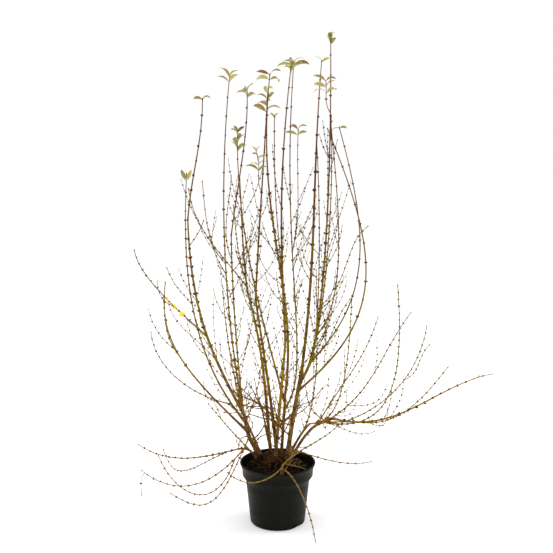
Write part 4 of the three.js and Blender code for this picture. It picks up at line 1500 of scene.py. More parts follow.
@dataclass
class NurseryPot:
    """The black nursery pot: a turned wall with a lip, a band, a shoulder and notches in the foot."""

    height: float = 0.214
    rim: float = 0.128
    lip: float = 0.0028
    lip_bottom: float = 0.190
    band: float = 0.1195
    band_bottom: float = 0.170
    band_draft: float = 0.8 * MM
    shoulder: float = 0.1075
    shoulder_bottom: float = 0.150
    foot: float = 0.093
    chamfer: float = 0.005
    wall: float = 0.0024
    floor: float = 0.004
    sides: int = 144
    # heights of the faint moulded rings, and how far they stand out
    ring_heights: tuple[float, ...] = (0.040, 0.128, 0.136)
    ring: float = 0.35 * MM
    notch_height: float = 0.013
    notch_depth: float = 0.009
    notch_width: float = 0.056
    notch_round: float = 3 * MM
    notch_azimuths: tuple[float, ...] = (-40, 140)
    sharp: float = 30

    def wall_at(self, height: float) -> float:
        """Give the outer radius of the tapering body at a height."""
        rise = (height - self.chamfer) / (self.shoulder_bottom - self.chamfer)
        return self.foot + (self.shoulder - self.foot) * rise

    def outline(self) -> list[Range]:
        """Give the closed outline of the wall.

        Returns:
            Radii and heights, from the axis round to it.
        """
        body = [(0.0, 0.0), (self.foot - self.chamfer, 0.0), (self.foot, self.chamfer)]
        for z in self.ring_heights:
            r = self.wall_at(z)
            body += [(r, z - 1.2 * MM), (r + self.ring, z - 0.6 * MM), (r + self.ring, z + 0.6 * MM),
                     (r, z + 1.2 * MM)]
        body += [(self.shoulder, self.shoulder_bottom), (self.band - 2 * MM, self.band_bottom - 3 * MM),
                 (self.band, self.band_bottom), (self.band + self.band_draft, self.lip_bottom)]
        turns = [radians(a) for a in range(-60, 241, 30)]
        x, z = self.rim - self.lip, self.height - self.lip
        bead = [(x + self.lip * cos(a), z + self.lip * sin(a)) for a in turns]
        inner = self.band - self.wall
        return body + bead + [
            (inner, self.lip_bottom), (inner, self.band_bottom),
            (self.shoulder - self.wall, self.shoulder_bottom), (self.foot - self.wall, self.floor),
            (0.0, self.floor)]

    def notch(self, azimuth: float) -> Piece:
        """Make the rounded block that cuts one notch.

        Args:
            azimuth: Where round the pot the notch is, in degrees.

        Returns:
            The block.
        """
        shape = bmesh.new()
        bmesh.ops.create_cube(shape, size=1)
        size = (self.notch_depth * 2, self.notch_width, self.notch_height * 2)
        bmesh.ops.scale(shape, vec=size, verts=shape.verts)
        top = [e for e in shape.edges if all(v.co.z > 0 for v in e.verts)]
        bmesh.ops.bevel(shape, geom=top, offset=self.notch_round, segments=4, affect="EDGES", profile=0.5,
                        material=-1)
        bmesh.ops.translate(shape, vec=(self.foot, 0, -1 * MM), verts=shape.verts)
        turn = Matrix.Rotation(radians(azimuth), 3, "Z")
        bmesh.ops.rotate(shape, cent=(0, 0, 0), matrix=turn, verts=shape.verts)
        return object_of(shape, "notch_cutter")

    def build(self) -> Piece:
        """Turn the wall and cut its notches.

        Returns:
            The pot.
        """
        piece = object_of(turned_body(self.outline(), self.sides), "nursery_pot", self.sharp)
        for azimuth in self.notch_azimuths:
            cut = piece.modifiers.new("notch", "BOOLEAN")
            cut.object = self.notch(azimuth)
            cut.operation = "DIFFERENCE"
            cut.solver = "EXACT"
            bpy.context.view_layer.update()
            graph = bpy.context.evaluated_depsgraph_get()
            mesh = bpy.data.meshes.new_from_object(piece.evaluated_get(graph))
            bpy.data.objects.remove(cut.object)
            piece.modifiers.clear()
            piece.data = mesh
        piece.data.name = "nursery_pot"
        smooth(piece.data, self.sharp)
        return piece

    def dress(self) -> None:
        """Build the pot and give it its plastic."""
        finish_piece(self.build(), BlackPolypropylene(), ["pot"])


class Bit(Enum):
    """The shapes of the loose bits on the bed."""

    CRUMB = "crumb"
    CHIP = "chip"
    STRAW = "straw"


@dataclass(frozen=True)
class LooseBits:
    """One sort of loose bits: how many, their sizes, how far they stand proud, and where they lie.

    They lie about a centre by a spread or, where that is 0, all over the bed. They tip by up to
    tilt, in radians. The seed starts the rule that deals them.
    """

    name: str
    bit: Bit
    count: int
    size: Range
    proud: float
    seed: int
    browns: tuple[str, str]
    centre: Range = (0, 0)
    spread: float = 0
    tilt: float = 0.5


CROWN = (-0.014, 0.044)
# The near-black browns of the dark and the brown crumbs and of the bark chips are the compost's own dark
# colour and also painted shade for the shaded inside of the pot
LOOSE_BITS = (
    LooseBits("compost_crumbs_dark", Bit.CRUMB, 1800, (1.8 * MM, 5.8 * MM), 0.12, 71, ("#050301", "#0a0603")),
    LooseBits("compost_crumbs_brown", Bit.CRUMB, 1200, (1.8 * MM, 5.8 * MM), 0.12, 72,
              ("#080401", "#130a04")),
    LooseBits("compost_crumbs_red", Bit.CRUMB, 400, (1.8 * MM, 5.8 * MM), 0.12, 73, ("#341a0a", "#552e14")),
    LooseBits("compost_bark", Bit.CHIP, 80, (6 * MM, 15 * MM), 0.06, 81, ("#29170a", "#3f2613")),
    LooseBits("compost_straw", Bit.STRAW, 24, (12 * MM, 30 * MM), 0.08, 87, ("#8a6a45", "#a98a5e"),
              (0.066, 0.022), 0.026),
    LooseBits("crown_litter", Bit.CHIP, 520, (8 * MM, 20 * MM), 0.08, 95, ("#24160b", "#50341e"),
              CROWN, 0.027, 0.9),
    LooseBits("crown_splinters", Bit.STRAW, 130, (12 * MM, 34 * MM), 0.12, 99, ("#573b22", "#7d5c3a"),
              CROWN, 0.028, 1.1),
)
GRIT = LooseBits("compost_grit", Bit.CRUMB, 50, (1.2 * MM, 2.8 * MM), 0.2, 91, ("#9a8b74", "#7c6c54"))


@dataclass
class Compost:
    """The bark compost: a bed heaped round the crown, with crumbs, bark, straw and pale grit on it."""

    top: float = 0.195
    edge: float = 0.190
    radius: float = 0.1165
    flat: float = 0.0865
    rough: float = 2.2 * MM
    # each mound's place across and back, its spread both ways and its height
    mounds: tuple[tuple[float, ...], ...] = ((*CROWN, 0.041, 0.032, 0.031),
                                             (-0.064, 0.026, 0.016, 0.016, 0.015))
    # radii and heights of the sides and the bottom, inside the pot
    below: tuple[Range, ...] = ((0.1163, 0.172), (0.1042, 0.152), (0.0910, 0.020), (0.0783, 0.013),
                                (0.0783, 0.0045), (0, 0.0045))
    rings: int = 30
    sides: int = 96
    lumps: float = 90
    cut_cane: tuple[Range, Range] = ((0.040, -0.002), (0.094, -0.038))
    cut_cane_girth: Range = (2.2 * MM, 1.5 * MM)
    cut_cane_steps: int = 13
    cut_cane_sides: int = 10

    def height(self, x: float, y: float) -> float:
        """Give the height of the bed's surface at a place.

        Args:
            x: The place across.
            y: The place back.

        Returns:
            The height over the pot's underside.
        """
        fall = limits((hypot(x, y) - self.flat) / (self.radius - self.flat), 0, 1)
        rough = noise.fractal(Vector((x, y, 0)) * self.lumps, 0.9, 2.1, 4) * self.rough
        heap = 0.0
        for mx, my, wide, deep, high in self.mounds:
            heap += high * exp(-(((x - mx) / wide) ** 2 + ((y - my) / deep) ** 2) / 2)
        return self.top + (self.edge - self.top) * fall + heap * (1 - fall) + rough

    def bed(self) -> Piece:
        """Make the bed as one closed body.

        Returns:
            The bed.
        """
        surface = [(self.radius * i / self.rings, self.top) for i in range(self.rings + 1)]
        shape = turned_body([*surface, *self.below], self.sides)
        for corner in shape.verts:
            if corner.co.z > self.top - MM:
                corner.co.z = self.height(corner.co.x, corner.co.y)
        return object_of(shape, "compost_bed", sharp=60)

    def crumb(self) -> Shape:
        """Make one lumpy crumb, about one across.

        Returns:
            The crumb.
        """
        shape = bmesh.new()
        bmesh.ops.create_icosphere(shape, subdivisions=1, radius=0.5)
        for corner in shape.verts:
            corner.co *= 1 + 0.45 * noise.noise(corner.co * 3.1 + Vector((4, 1, 7)))
            corner.co.z *= 0.75
        return shape

    def chip(self) -> Shape:
        """Make one pointed and bent splinter of bark, one long.

        Returns:
            The splinter.
        """
        shape = bmesh.new()
        bmesh.ops.create_cube(shape, size=1)
        bmesh.ops.scale(shape, vec=(1, 0.34, 0.13), verts=shape.verts)
        bmesh.ops.bevel(shape, geom=list(shape.edges), offset=0.04, segments=1, affect="EDGES", profile=0.5,
                        material=-1)
        for corner in shape.verts:
            corner.co.y *= 1 - 0.9 * abs(corner.co.x)
            corner.co.z += 0.12 * corner.co.x ** 2
        return shape

    def straw(self) -> Shape:
        """Make one bent straw, one long.

        Returns:
            The straw.
        """
        shape = rod(5, (0.035, 0.022), 4)
        for corner in shape.verts:
            corner.co = Vector((corner.co.z, corner.co.x + 0.12 * sin(corner.co.z * 4), corner.co.y))
        bmesh.ops.recalc_face_normals(shape, faces=shape.faces)
        return shape

    def lay(self, bits: LooseBits, pattern: Mesh) -> None:
        """Scatter copies of a small shape over the bed.

        Args:
            bits: What lies there.
            pattern: The shape of one bit, one across.
        """
        draws = Seeded(bits.seed)
        room = self.radius - bits.size[1] * 0.7
        places, axes = [], []
        for _ in range(bits.count):
            share = draws.next()
            r = bits.spread * sqrt(-2 * log(share)) if bits.spread else room * sqrt(share)
            a = draws.between(0, tau)
            x, y = bits.centre[0] + r * cos(a), bits.centre[1] + r * sin(a)
            scale = bits.size[0] + (bits.size[1] - bits.size[0]) * draws.next() ** 2
            tips = [draws.between(-bits.tilt, bits.tilt) for _ in range(2)]
            turn = Matrix.Rotation(draws.between(0, tau), 3, "Z") @ Matrix.Rotation(tips[0], 3, "X")
            if hypot(x, y) <= room:
                places.append((x, y, self.height(x, y) + scale * bits.proud))
                axes.append(np.array(turn @ Matrix.Rotation(tips[1], 3, "Y")) * scale)
        joined = JoinedMesh()
        joined.stamp(pattern, np.array(places), np.array(axes))
        finish = BarkCompost(bits.name.replace("crumbs", "crumb"), *bits.browns)
        finish_piece(joined.object(bits.name), finish, ["soil"])

    def fallen_cane(self) -> Piece:
        """Make the short length of cut cane that lies on the bed.

        Returns:
            The cane.
        """
        steps = self.cut_cane_steps
        shares = np.linspace(0, 1, steps)[:, None]
        points = np.array(self.cut_cane[0]) * (1 - shares) + np.array(self.cut_cane[1]) * shares
        heights = [self.top + 5 * MM + 2.5 * MM * sin(3 * s) for s in shares[:, 0]]
        girth = np.linspace(*self.cut_cane_girth, steps) * (1 + 0.25 * (np.arange(steps) % 5 == 2))
        joined = JoinedMesh()
        joined.add_rings(rings_round(np.column_stack((points, heights)), girth, self.cut_cane_sides))
        return joined.object("fallen_cane")

    def dress(self) -> None:
        """Build the bed and what lies on it, and give each its own brown."""
        makers = {Bit.CRUMB: self.crumb, Bit.CHIP: self.chip, Bit.STRAW: self.straw}
        patterns = {bit: mesh_of(make(), bit.value) for bit, make in makers.items()}
        # the bed's near-black browns are the compost's own colour and also painted shade for the shaded
        # inside of the pot
        finish_piece(self.bed(), BarkCompost("bark_compost", "#050301", "#0c0703"), ["soil"])
        for bits in LOOSE_BITS:
            self.lay(bits, patterns[bits.bit])
        finish_piece(self.fallen_cane(), YoungBark("cut_cane_bark", Tint.STRAW.value), ["soil"])
        self.lay(GRIT, patterns[GRIT.bit])


@dataclass
class BarkWood:
    """The bare stems and boughs: round limbs with ridged bark, warty pores and node scars."""

    growth: Growth
    sides: int = 22
    step: float = 0.0032
    flare: float = 0.75
    flare_length: float = 0.013
    collar: float = 0.28
    collar_length: float = 0.008
    buried: float = 2 * MM
    node_spacing: float = 0.055
    # how far below its parent's tip a bough starts, and its rings on the way out: from, to and count
    below_tip: float = 0.006
    way_out: tuple[float, float, int] = (0.15, 0.85, 4)
    # how finely the noise of the ridges, round and along, of the lumps and of the warts is laid
    ridges: Range = (3, 28)
    lumps: float = 160
    warts: float = 420
    # how far ridges and lumps, warts, and node scars stand out: shares of the radius, but for warts
    ridge: float = 0.05
    wart: float = 0.9 * MM
    wart_from: float = 0.22
    scar: float = 0.22
    scar_length: float = 1.8 * MM

    def line(self, cane: Cane) -> tuple[Array, Array]:
        """Give the points and radii along a limb, from inside what bears it to its end.

        Args:
            cane: The stem or the cane whose bare wood it is.

        Returns:
            The points, one a row, and the radius at each.
        """
        length = cane.curve.length * cane.bare
        count = max(4, round(length / self.step))
        shares = np.linspace(0, cane.bare, count + 1)
        points = cane.curve.points(shares)
        along = np.linspace(0, length, count + 1)
        radii = cane.girth_at(shares)
        if cane.parent is None:
            radii = radii + self.flare * cane.radius * np.exp(-along / self.flare_length)
            return points, radii
        fading = np.exp(-along / self.collar_length)
        if cane.at == 1:
            base = cane.parent.curve.point(1 - self.below_tip / cane.parent.curve.length)
            radii = radii + (cane.parent.point - cane.radius) * fading
        else:
            base = cane.parent.curve.point(cane.at)
            radii = radii * (1 + self.collar * fading)
        inside = base + (points[0] - base) * np.linspace(*self.way_out)[:, None]
        return np.concatenate((inside, points)), np.concatenate((np.full(len(inside), radii[0]), radii))

    def relief(self, place: Vector, along: float, angle: float, radius: float, cane: Cane) -> float:
        """Give how far the bark stands out at a place.

        Args:
            place: The place on a smooth limb.
            along: How far along the limb it is.
            angle: Where round the limb it is.
            radius: The limb's radius there.
            cane: The cane.

        Returns:
            A height in metres.
        """
        near, far = self.ridges
        spot = Vector((cos(angle) * near, sin(angle) * near, along * far + cane.index))
        ridges = noise.noise(spot)
        lumps = noise.noise(place * self.lumps)
        warts = max(0.0, noise.noise(place * self.warts + Vector((cane.index, 0, 0))) - self.wart_from)
        off = (along / self.node_spacing + 0.5) % 1 - 0.5
        scar = exp(-(off * self.node_spacing / self.scar_length) ** 2)
        side = 0.6 + 0.4 * cos(2 * angle + round(along / self.node_spacing) * pi)
        bark = radius * (self.ridge * ridges + self.ridge * lumps)
        return bark + self.wart * warts + self.scar * radius * scar * side

    def limb(self, cane: Cane, shape: Shape) -> None:
        """Add one limb: a rod cut into rings that are moved onto its curve.

        Args:
            cane: The cane.
            shape: The bmesh that takes it.
        """
        points, radii = self.line(cane)
        first, second = frames(points)
        steps = len(points) - 1
        limb = rod(self.sides, (1, 1), steps - 1)
        along = lengths_along(points)
        ground = points[0][2]
        for corner in limb.verts:
            ring = round((corner.co.z + 0.5) * steps)
            angle = atan2(corner.co.y, corner.co.x)
            across = first[ring] * cos(angle) + second[ring] * sin(angle)
            place = Vector(points[ring] + across * radii[ring])
            out = self.relief(place, along[ring], angle, radii[ring], cane)
            corner.co = place + Vector(across) * out
            if cane.parent is None and corner.co.z < ground + 0.3 * MM:
                corner.co.z = ground - self.buried
        bmesh.ops.recalc_face_normals(limb, faces=limb.faces)
        join_into(shape, limb)

    def dress(self) -> None:
        """Build the stems and the boughs, and give them their bark."""
        canes = [c for c in self.growth.canes.values() if c.bare > 0]
        stems = [c for c in canes if c.parent is None]
        boughs = [c for c in canes if c.parent is not None]
        for name, before, limbs in (("bark_stems", "", stems), ("bark_boughs", "bough_", boughs)):
            shape = bmesh.new()
            for cane in limbs:
                self.limb(cane, shape)
            nodes = [before + c.name for c in limbs]
            finish_piece(object_of(shape, name, sharp=55), StemBark(), nodes)


@dataclass
class ShootWood:
    """The slender wood: canes, twigs and finer twigs, swollen at their nodes, dealt out by tint."""

    growth: Growth
    step: float = 0.010
    # where the rings stand beside a node, also on a stretch that is too short for them, and the
    # length over which the node's swelling fades
    near_node: float = 1.5 * MM
    off_node: float = 3.5 * MM
    shortest: float = 4 * MM
    squeezed: Range = (3.6 * MM, 3.7 * MM)
    swelling_length: float = 1.9 * MM
    swelling: Triple = (0.32, 0.42, 0.30)
    collar: float = 0.3
    collar_length: float = 6 * MM
    sides: tuple[int, int, int] = (9, 6, 5)
    shaded_below: float = 0.50
    shaded_age: float = 1.06
    # how far a tint is dealt to a whole shoot, and to each stretch of it
    dealt: Range = (0.6, 0.4)
    joined: dict[Tint, JoinedMesh] = field(default_factory=dict)

    def stretch(self, shoot: Shoot, low: float, high: float) -> tuple[Array, Array]:
        """Give shares of a shoot from one node to the next, closer together at the nodes.

        Args:
            shoot: The shoot.
            low: Share at which the stretch starts.
            high: Share at which it ends.

        Returns:
            The shares, and how far each is from the nearer end.
        """
        length = max((high - low) * shoot.curve.length, self.shortest)
        inner = max(1, round((length - 2 * self.off_node) / self.step))
        last = max(self.squeezed[0], length - self.off_node)
        along = np.concatenate(((0, self.near_node), np.linspace(self.off_node, last, inner + 1),
                                (max(self.squeezed[1], length - self.near_node), length)))
        along = np.minimum(along, length)
        return low + (high - low) * along / length, np.minimum(along, length - along)

    def radii(self, shoot: Shoot, shares: Array, off: Array) -> Array:
        """Give the radii of a shoot, with the swelling at its nodes and the collar at its foot.

        Args:
            shoot: The shoot.
            shares: Shares of it.
            off: How far each share is from the nearest node.

        Returns:
            The radius at each share.
        """
        swollen = 1 + self.swelling[shoot.order] * np.exp(-(off / self.swelling_length) ** 2)
        collar = 1 + self.collar * np.exp(-shares * shoot.curve.length / self.collar_length)
        return shoot.radius_at(shares) * swollen * (collar if shoot.low == 0 else 1)

    def tint(self, shoot: Shoot, middle: Array, draw: float) -> Tint:
        """Deal the tint of a stretch of a shoot.

        Args:
            shoot: The shoot.
            middle: The stretch's middle.
            draw: A draw between zero and one.

        Returns:
            The tint.
        """
        if shoot.cane.mass.startswith("front"):
            return Tint.STRAW
        shaded = shoot.order == 1 and shoot.root is not None and middle[2] < self.shaded_below
        whole, part = self.dealt
        return Tint.at(self.shaded_age if shaded else middle[2], whole * shoot.tone + part * draw)

    def add(self, shoot: Shoot, draws: Seeded) -> None:
        """Add a shoot, each stretch from node to node in its own tint.

        Args:
            shoot: The shoot.
            draws: The rule that deals the tints.
        """
        ends = [shoot.low, *[n.share for n in shoot.nodes if n.share > shoot.low + 0.004], 1.0]
        shares, off, cuts = [], [], [0]
        for low, high in zip(ends, ends[1:]):
            part, away = self.stretch(shoot, low, high)
            skip = 1 if shares else 0
            shares.extend(part[skip:])
            off.extend(away[skip:])
            cuts.append(len(shares) - 1)
        points = shoot.curve.points(np.array(shares))
        radii = self.radii(shoot, np.array(shares), np.array(off))
        if shoot.root is not None and np.linalg.norm(points[0] - shoot.root) > 0.5 * MM:
            points = np.concatenate((shoot.root[None, :], points))
            radii = np.concatenate((radii[:1], radii))
            cuts = [0, *[c + 1 for c in cuts[1:]]]
        rings = rings_round(points, radii, self.sides[shoot.order])
        if shoot.order == 2:
            cuts = [0, len(points) - 1]
        for low, high in zip(cuts, cuts[1:]):
            tint = self.tint(shoot, points[(low + high) // 2], draws.next())
            self.joined.setdefault(tint, JoinedMesh()).add_rings(rings[low:high + 1])

    def dress(self) -> None:
        """Build all slender wood and give each tint its bark."""
        draws = Seeded(17)
        for shoot in self.growth.shoots:
            self.add(shoot, draws)
        masses = self.growth.mass_nodes()
        for tint in Tint:
            label = tint.name.lower()
            finish = YoungBark(f"shoot_bark_{label}", tint.value)
            finish_piece(self.joined[tint].object(f"shoots_{label}"), finish, masses)


@dataclass(frozen=True)
class BudSort:
    """The buds of one order of wood: length, girth as a share of it, lean in radians, and looks."""

    name: str
    length: float
    girth: float
    lean: float
    sides: int
    rows: int
    colour: str

    def pattern(self) -> Mesh:
        """Make one pointed bud, one long, that stands on its foot.

        Returns:
            The bud's mesh.
        """
        shape = bmesh.new()
        bmesh.ops.create_uvsphere(shape, u_segments=self.sides, v_segments=self.rows, radius=0.5)
        for corner in shape.verts:
            rise = corner.co.z + 0.5
            slim = 1.12 - 0.55 * rise ** 1.5
            corner.co = Vector((corner.co.x * slim, corner.co.y * slim, rise))
        return mesh_of(shape, "bud")


BUD_SORTS = (BudSort("cane", 8.6 * MM, 0.62, 0.50, 6, 5, "#4b2604"),
             BudSort("twig", 6.2 * MM, 0.52, 0.40, 5, 4, "#4c3405"),
             BudSort("fine", 5.0 * MM, 0.50, 0.36, 4, 3, "#533a07"))


@dataclass
class Buds:
    """Opposite winter buds at every node, two side by side on strong wood, and one at every tip."""

    growth: Growth
    full_vigour: float = 2.8 * MM
    vigour: Range = (0.66, 1.1)
    # a second bud: its turn about the wood in radians, and its share of the first one's length
    beside: float = 1.1
    second: float = 0.8
    at_tip: float = 0.8
    # the least share of its length and its lean that a bud is dealt, and what a draw adds to them
    length: Range = (0.75, 0.5)
    lean: Range = (0.8, 0.5)
    # where a bud's foot sits: out by a share of the wood's radius, and back by shares of its length
    out: float = 0.7
    back: Range = (0.3, 0.35)

    def seats(self) -> Iterator[tuple[int, Array, Array, float]]:
        """Deal the buds.

        Yields:
            The order of the wood, and the bud's foot, direction and length.
        """
        draws = Seeded(23)
        for shoot in self.growth.shoots:
            order = shoot.order
            sort = BUD_SORTS[order]
            for node in shoot.nodes:
                if node.share < shoot.low:
                    continue
                along = shoot.curve.tangent(node.share)
                place = shoot.curve.point(node.share)
                radius = shoot.radius_at(node.share)
                vigour = limits(radius / self.full_vigour, *self.vigour) if order == 0 else 1.0
                for half in (0, 1):
                    draw = draws.next()
                    if (node, half) in shoot.grown:
                        continue
                    side = shoot.side(node, half)
                    length = sort.length * vigour * (self.length[0] + self.length[1] * draw)
                    lean = sort.lean * (self.lean[0] + self.lean[1] * draw)
                    beside = self.beside if draw > 0.5 else -self.beside
                    for back, share in zip(self.back, (1.0, self.second) if order == 0 else (1.0,)):
                        foot = place + side * radius * self.out - along * length * back
                        out = unit(along * cos(lean) + side * sin(lean))
                        yield order, foot, out, length * share
                        side = turned(side, along, beside)
            out = shoot.curve.tangent(1)
            yield order, shoot.curve.point(1) - out * MM, out, sort.length * self.at_tip

    def dress(self) -> None:
        """Build the buds, those of each order of wood apart, and give them their scales."""
        groups: list[list[tuple[Array, Array]]] = [[] for _ in BUD_SORTS]
        for order, foot, out, length in self.seats():
            side = unit(np.cross(out, (0.3, 0.9, 0.2)))
            width = length * BUD_SORTS[order].girth
            axes = np.stack((side * width, np.cross(out, side) * width, out * length), axis=-1)
            groups[order].append((foot, axes))
        for sort, group in zip(BUD_SORTS, groups):
            joined = JoinedMesh()
            feet, axes = zip(*group)
            joined.stamp(sort.pattern(), np.array(feet), np.array(axes))
            finish = BudScale(f"bud_scale_{sort.name}", sort.colour)
            finish_piece(joined.object(f"buds_{sort.name}"), finish, self.growth.mass_nodes())


@dataclass
class BladeShape:
    """One leaf or petal: a pointed blade that folds along its midrib, arches and twists."""

    length: float
    width: float
    arch: float
    fold: float
    twist: float
    widest: float = 0.9
    rows: int = 10
    columns: int = 4
    stalk: float = 0.07

    def half_width(self, along: float) -> float:
        """Give half the blade's width at a share of its length."""
        past, whole = max(0.0, along - self.stalk), 1 - self.stalk
        swell = sin(pi * past ** self.widest / whole ** self.widest)
        return self.width / 2 * max(0.07, max(0.0, swell) ** 0.85) * (1 if along < 0.98 else 0.3)

    def build(self) -> Shape:
        """Shape the blade along +X from the origin, its upper face towards +Z.

        Returns:
            The blade.
        """
        shape = blades()
        bmesh.ops.create_grid(shape, x_segments=self.rows, y_segments=self.columns, size=0.5, calc_uvs=True)
        tilts = [self.arch * (0.35 - 1.1 * i / self.rows) for i in range(self.rows + 1)]
        spine = [Vector((0, 0, 0))]
        for tilt in tilts[:-1]:
            step = Vector((cos(tilt), 0, sin(tilt))) * (self.length / self.rows)
            spine.append(spine[-1] + step)
        for corner in shape.verts:
            along = limits(corner.co.x + 0.5, 0, 1)
            i = round(along * self.rows)
            across = corner.co.y * 2 * self.half_width(along)
            roll = Matrix.Rotation(self.twist * along, 3, "X") @ Vector((0, across, abs(across) * self.fold))
            corner.co = spine[i] + Matrix.Rotation(-tilts[i], 3, "Y") @ roll
        return shape


def blades() -> Shape:
    """Start an empty mesh of blades, which carries their flat coordinates.

    Returns:
        The mesh.
    """
    shape = bmesh.new()
    shape.loops.layers.uv.new("blade")
    return shape


@dataclass
class Foliage:
    """The few young leaves at the tips and the three open flowers."""

    growth: Growth
    thickness: float = 0.45 * MM
    upright_tufts: tuple[str, ...] = ("left_back",)
    compact_tufts: tuple[str, ...] = ("right_leaning", "middle_right_top")
    drop: float = 0.018
    # a compact tuft's leaves: their share of the usual length, their width as a share of that, and
    # how much more they rise
    compact_length: float = 0.66
    compact_width: float = 0.46
    compact_rise: float = 0.5
    # an upright tuft's leaves: lean in degrees, width, arch, roll, and how far apart they stand
    upright: tuple[float, ...] = (22, 0.38, 0.1, 1.35, 0.0095)
    # how far a leaf turns to the side, how each rank droops and grows, and the steepest rise
    aside: float = 0.75
    droop: float = 0.2
    growth_of_rank: float = 1.15
    steepest: float = 1.35
    # what is dealt to each leaf: turns in radians, and shares of its length or, to fold, its width
    azimuth: Range = (-0.6, 0.6)
    rise: Range = (-0.2, 0.25)
    stretch: Range = (1.05, 1.4)
    slim: Range = (0.24, 0.36)
    arch: Range = (0.9, 2.0)
    roll: Range = (0.2, 1.0)
    fold: Range = (0.1, 0.6)
    twist: Range = (-0.6, 0.6)
    brown_from: Range = (0.62, 1.35)
    # where the flowers sit on their cane, and their sizes as shares of a petal's length and width
    flowers: tuple[Range, ...] = ((0.20, 1.1), (0.28, 0.85), (0.36, 0.6))
    petal: Range = (12 * MM, 7.5 * MM)
    petals: int = 4
    # the azimuth of the first flower, the turn to the next, and their lean, in degrees
    facing: Triple = (262, 14, 80)
    petal_out: Range = (0.3, 0.6)
    petal_arch: Range = (0.2, 0.8)
    petal_twist: Range = (-0.4, 0.4)

    def place(self, blade: Shape, base: Array, out: Array, roll: float, targets: dict[bool, Shape],
              brown_from: float = 2, facing: Array = UP) -> None:
        """Set a blade on its stem, and join its green part and its brown tip to the others.

        Args:
            blade: The blade, which is freed.
            base: Where its foot goes.
            out: Its direction.
            roll: Its turn about its own length, in radians.
            targets: The meshes that take the green part (False) and the brown tip (True).
            brown_from: The share of its length from which it is brown.
            facing: Where its upper face looks.
        """
        x = Vector(out)
        y = Vector(facing).cross(x).normalized()
        turn = Matrix((x, y, x.cross(y))).transposed().to_4x4() @ Matrix.Rotation(roll, 4, "X")
        flat = blade.loops.layers.uv["blade"]
        for face in blade.faces:
            face.tag = sum(loop[flat].uv.x for loop in face.loops) / len(face.loops) > brown_from
        bmesh.ops.transform(blade, matrix=Matrix.Translation(Vector(base)) @ turn, verts=blade.verts)
        for brown, target in targets.items():
            part = blade.copy()
            others = [face for face, source in zip(part.faces, blade.faces) if source.tag != brown]
            bmesh.ops.delete(part, geom=others, context="FACES")
            join_into(target, part)
        blade.free()

    def grow_leaf(self, seat: LeafSeat, draws: Seeded, targets: dict[bool, Shape]) -> None:
        """Shape one leaf, a little off its seat's direction as leaves are.

        Args:
            seat: Where it grows.
            draws: The rule that deals its looks.
            targets: The meshes that take its green part (False) and its brown tip (True).
        """
        compact = seat.name in self.compact_tufts
        azimuth = atan2(seat.out[1], seat.out[0])
        turn = azimuth + draws.between(*self.azimuth) - self.aside * (1 - abs(seat.out[0]))
        lift = self.compact_rise * compact - self.droop * seat.rank
        rise = limits(asin(seat.out[2]) + draws.between(*self.rise) + lift, 0, self.steepest)
        out = heading(degrees(turn), 90 - degrees(rise))
        share = self.growth_of_rank ** seat.rank * draws.between(*self.stretch)
        length = seat.length * share * (self.compact_length if compact else 1)
        width = length * (self.compact_width if compact else draws.between(*self.slim))
        arch = draws.between(*self.arch)
        roll = draws.between(*self.roll)
        base = seat.base - UP * self.drop * 0.9 * compact
        if seat.name in self.upright_tufts:
            lean, slim, arch, roll, apart = self.upright
            out = heading(degrees(azimuth), lean)
            length, width = seat.length, seat.length * slim
            base = seat.base - UP * self.drop + np.array((out[0], out[1], 0)) * apart
        shape = BladeShape(length, width, arch, draws.between(*self.fold), draws.between(*self.twist))
        roll *= 1 if out[0] < 0 else -1
        self.place(shape.build(), base, out, roll, targets, draws.between(*self.brown_from))

    def finish_blades(self, shape: Shape, name: str, finish: Finish, nodes: Iterable[str]) -> None:
        """Give a piece of blades its thickness and its finish.

        Args:
            shape: The blades.
            name: The piece's name.
            finish: Its finish.
            nodes: The nodes that it stands for.
        """
        piece = object_of(shape, name, sharp=80)
        shell = piece.modifiers.new("thickness", "SOLIDIFY")
        shell.thickness = self.thickness
        shell.offset = 0
        finish_piece(piece, finish, nodes)

    def dress_leaves(self) -> None:
        """Build the leaves, those of each tint and their brown tips apart."""
        draws = Seeded(31)
        shapes = {tint: {False: blades(), True: blades()} for tint in LeafTint}
        for seat in self.growth.leaves:
            self.grow_leaf(seat, draws, shapes[LeafTint.dealt(seat.draw)])
        tufted = sorted({f"twigs_{self.growth.canes[row[0]].mass}" for row in TUFTS})
        for tint, parts in shapes.items():
            for brown, shape in parts.items():
                label = f"{tint.name.lower()}_{'tips' if brown else 'blades'}"
                finish = YoungLeaf(f"young_leaf_{label}", tint.value[brown])
                self.finish_blades(shape, f"leaves_{label}", finish, tufted)

    def dress_flowers(self) -> None:
        """Build the open flowers on the outer left cane, each of four strap petals."""
        cane = self.growth.canes["left_outer"]
        shape = blades()
        draws = Seeded(37)
        for i, (at, share) in enumerate(self.flowers):
            base = cane.curve.point(at) + np.array((0, -0.002, 0))
            azimuth, turn, lean = self.facing
            axis = heading(azimuth + turn * i, lean)
            across = unit(np.cross(axis, UP))
            for k in range(self.petals):
                side = turned(across, axis, 0.5 + i + tau * k / self.petals)
                out = unit(axis * draws.between(*self.petal_out) + side)
                petal = BladeShape(*np.array(self.petal) * share, draws.between(*self.petal_arch), 0.25,
                                   draws.between(*self.petal_twist), widest=1.1, rows=8)
                self.place(petal.build(), base, out, 0, {False: shape}, facing=axis)
        self.finish_blades(shape, "flowers", Petal(), ["twigs_left_outer"])

    def dress(self) -> None:
        """Build leaves and flowers."""
        self.dress_leaves()
        self.dress_flowers()


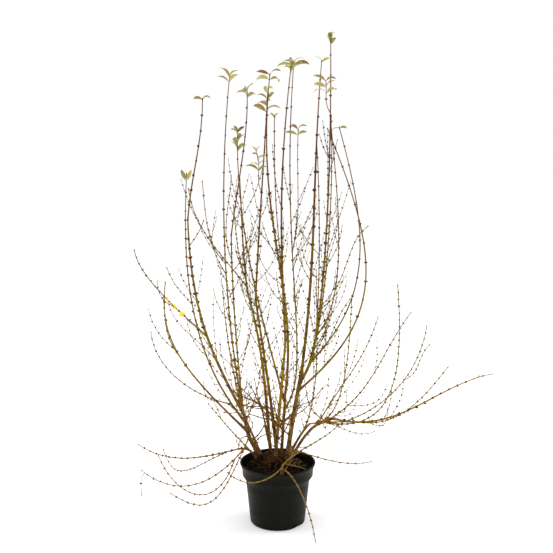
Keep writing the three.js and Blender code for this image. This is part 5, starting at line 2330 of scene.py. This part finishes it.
@dataclass
class Studio:
    """The pale floor, the soft light and the camera at the photograph's angle."""

    camera_place: Triple = (-0.004, -4.0, 1.77)
    camera_tilt: float = 77.13
    focal_pixels: float = 1253
    photo_side: float = 553
    sensor: float = 36
    floor_side: float = 600
    room_light: float = 1.01
    # each panel's name, its place and its power in watts
    panels: tuple[tuple[str, Triple, float], ...] = (
        ("left_panel", (-3.0, 0.6, 2.3), 56), ("right_panel", (3.0, 0.6, 2.1), 60))
    panel_side: float = 2.2
    aim: Triple = (0, 0, 0.8)

    def floor(self) -> None:
        """Lay the floor."""
        shape = bmesh.new()
        bmesh.ops.create_grid(shape, x_segments=1, y_segments=1, size=self.floor_side / 2)
        piece = object_of(shape, "floor")
        piece.data.materials.append(StudioPaper().material())

    def light(self) -> None:
        """Light the room evenly, with a soft panel at each side, a little behind the plant."""
        world = bpy.data.worlds.new("studio")
        world.use_nodes = True
        sky = world.node_tree.nodes["Background"]
        sky.inputs["Color"].default_value = WHITE
        sky.inputs["Strength"].default_value = self.room_light
        bpy.context.scene.world = world
        for name, place, power in self.panels:
            data = bpy.data.lights.new(name, "AREA")
            data.shape = "SQUARE"
            data.size = self.panel_side
            data.energy = power
            lamp = placed(name, data)
            lamp.location = place
            lamp.rotation_euler = (Vector(self.aim) - Vector(place)).to_track_quat("-Z", "Y").to_euler()

    def camera(self) -> None:
        """Set up the camera."""
        data = bpy.data.cameras.new("camera")
        data.sensor_width = self.sensor
        data.lens = self.focal_pixels / self.photo_side * self.sensor
        data.clip_end = 1000
        eye = placed("camera", data)
        eye.location = self.camera_place
        eye.rotation_euler = (radians(self.camera_tilt), 0, 0)
        bpy.context.scene.camera = eye

    def build(self) -> None:
        """Set up floor, light and camera, with colours shown as they are."""
        bpy.context.scene.view_settings.view_transform = "Standard"
        self.floor()
        self.light()
        self.camera()


def main() -> None:
    """Build the shrub in its pot."""
    logging.basicConfig(level=logging.INFO, format="%(name)s %(message)s")
    Studio().build()
    growth = Growth()
    growth.grow()
    LOG.info("%d canes, %d shoots, %d leaves", len(growth.canes), len(growth.shoots), len(growth.leaves))
    NurseryPot().dress()
    Compost().dress()
    BarkWood(growth).dress()
    ShootWood(growth).dress()
    Buds(growth).dress()
    Foliage(growth).dress()


if __name__ == "__main__":
    main()
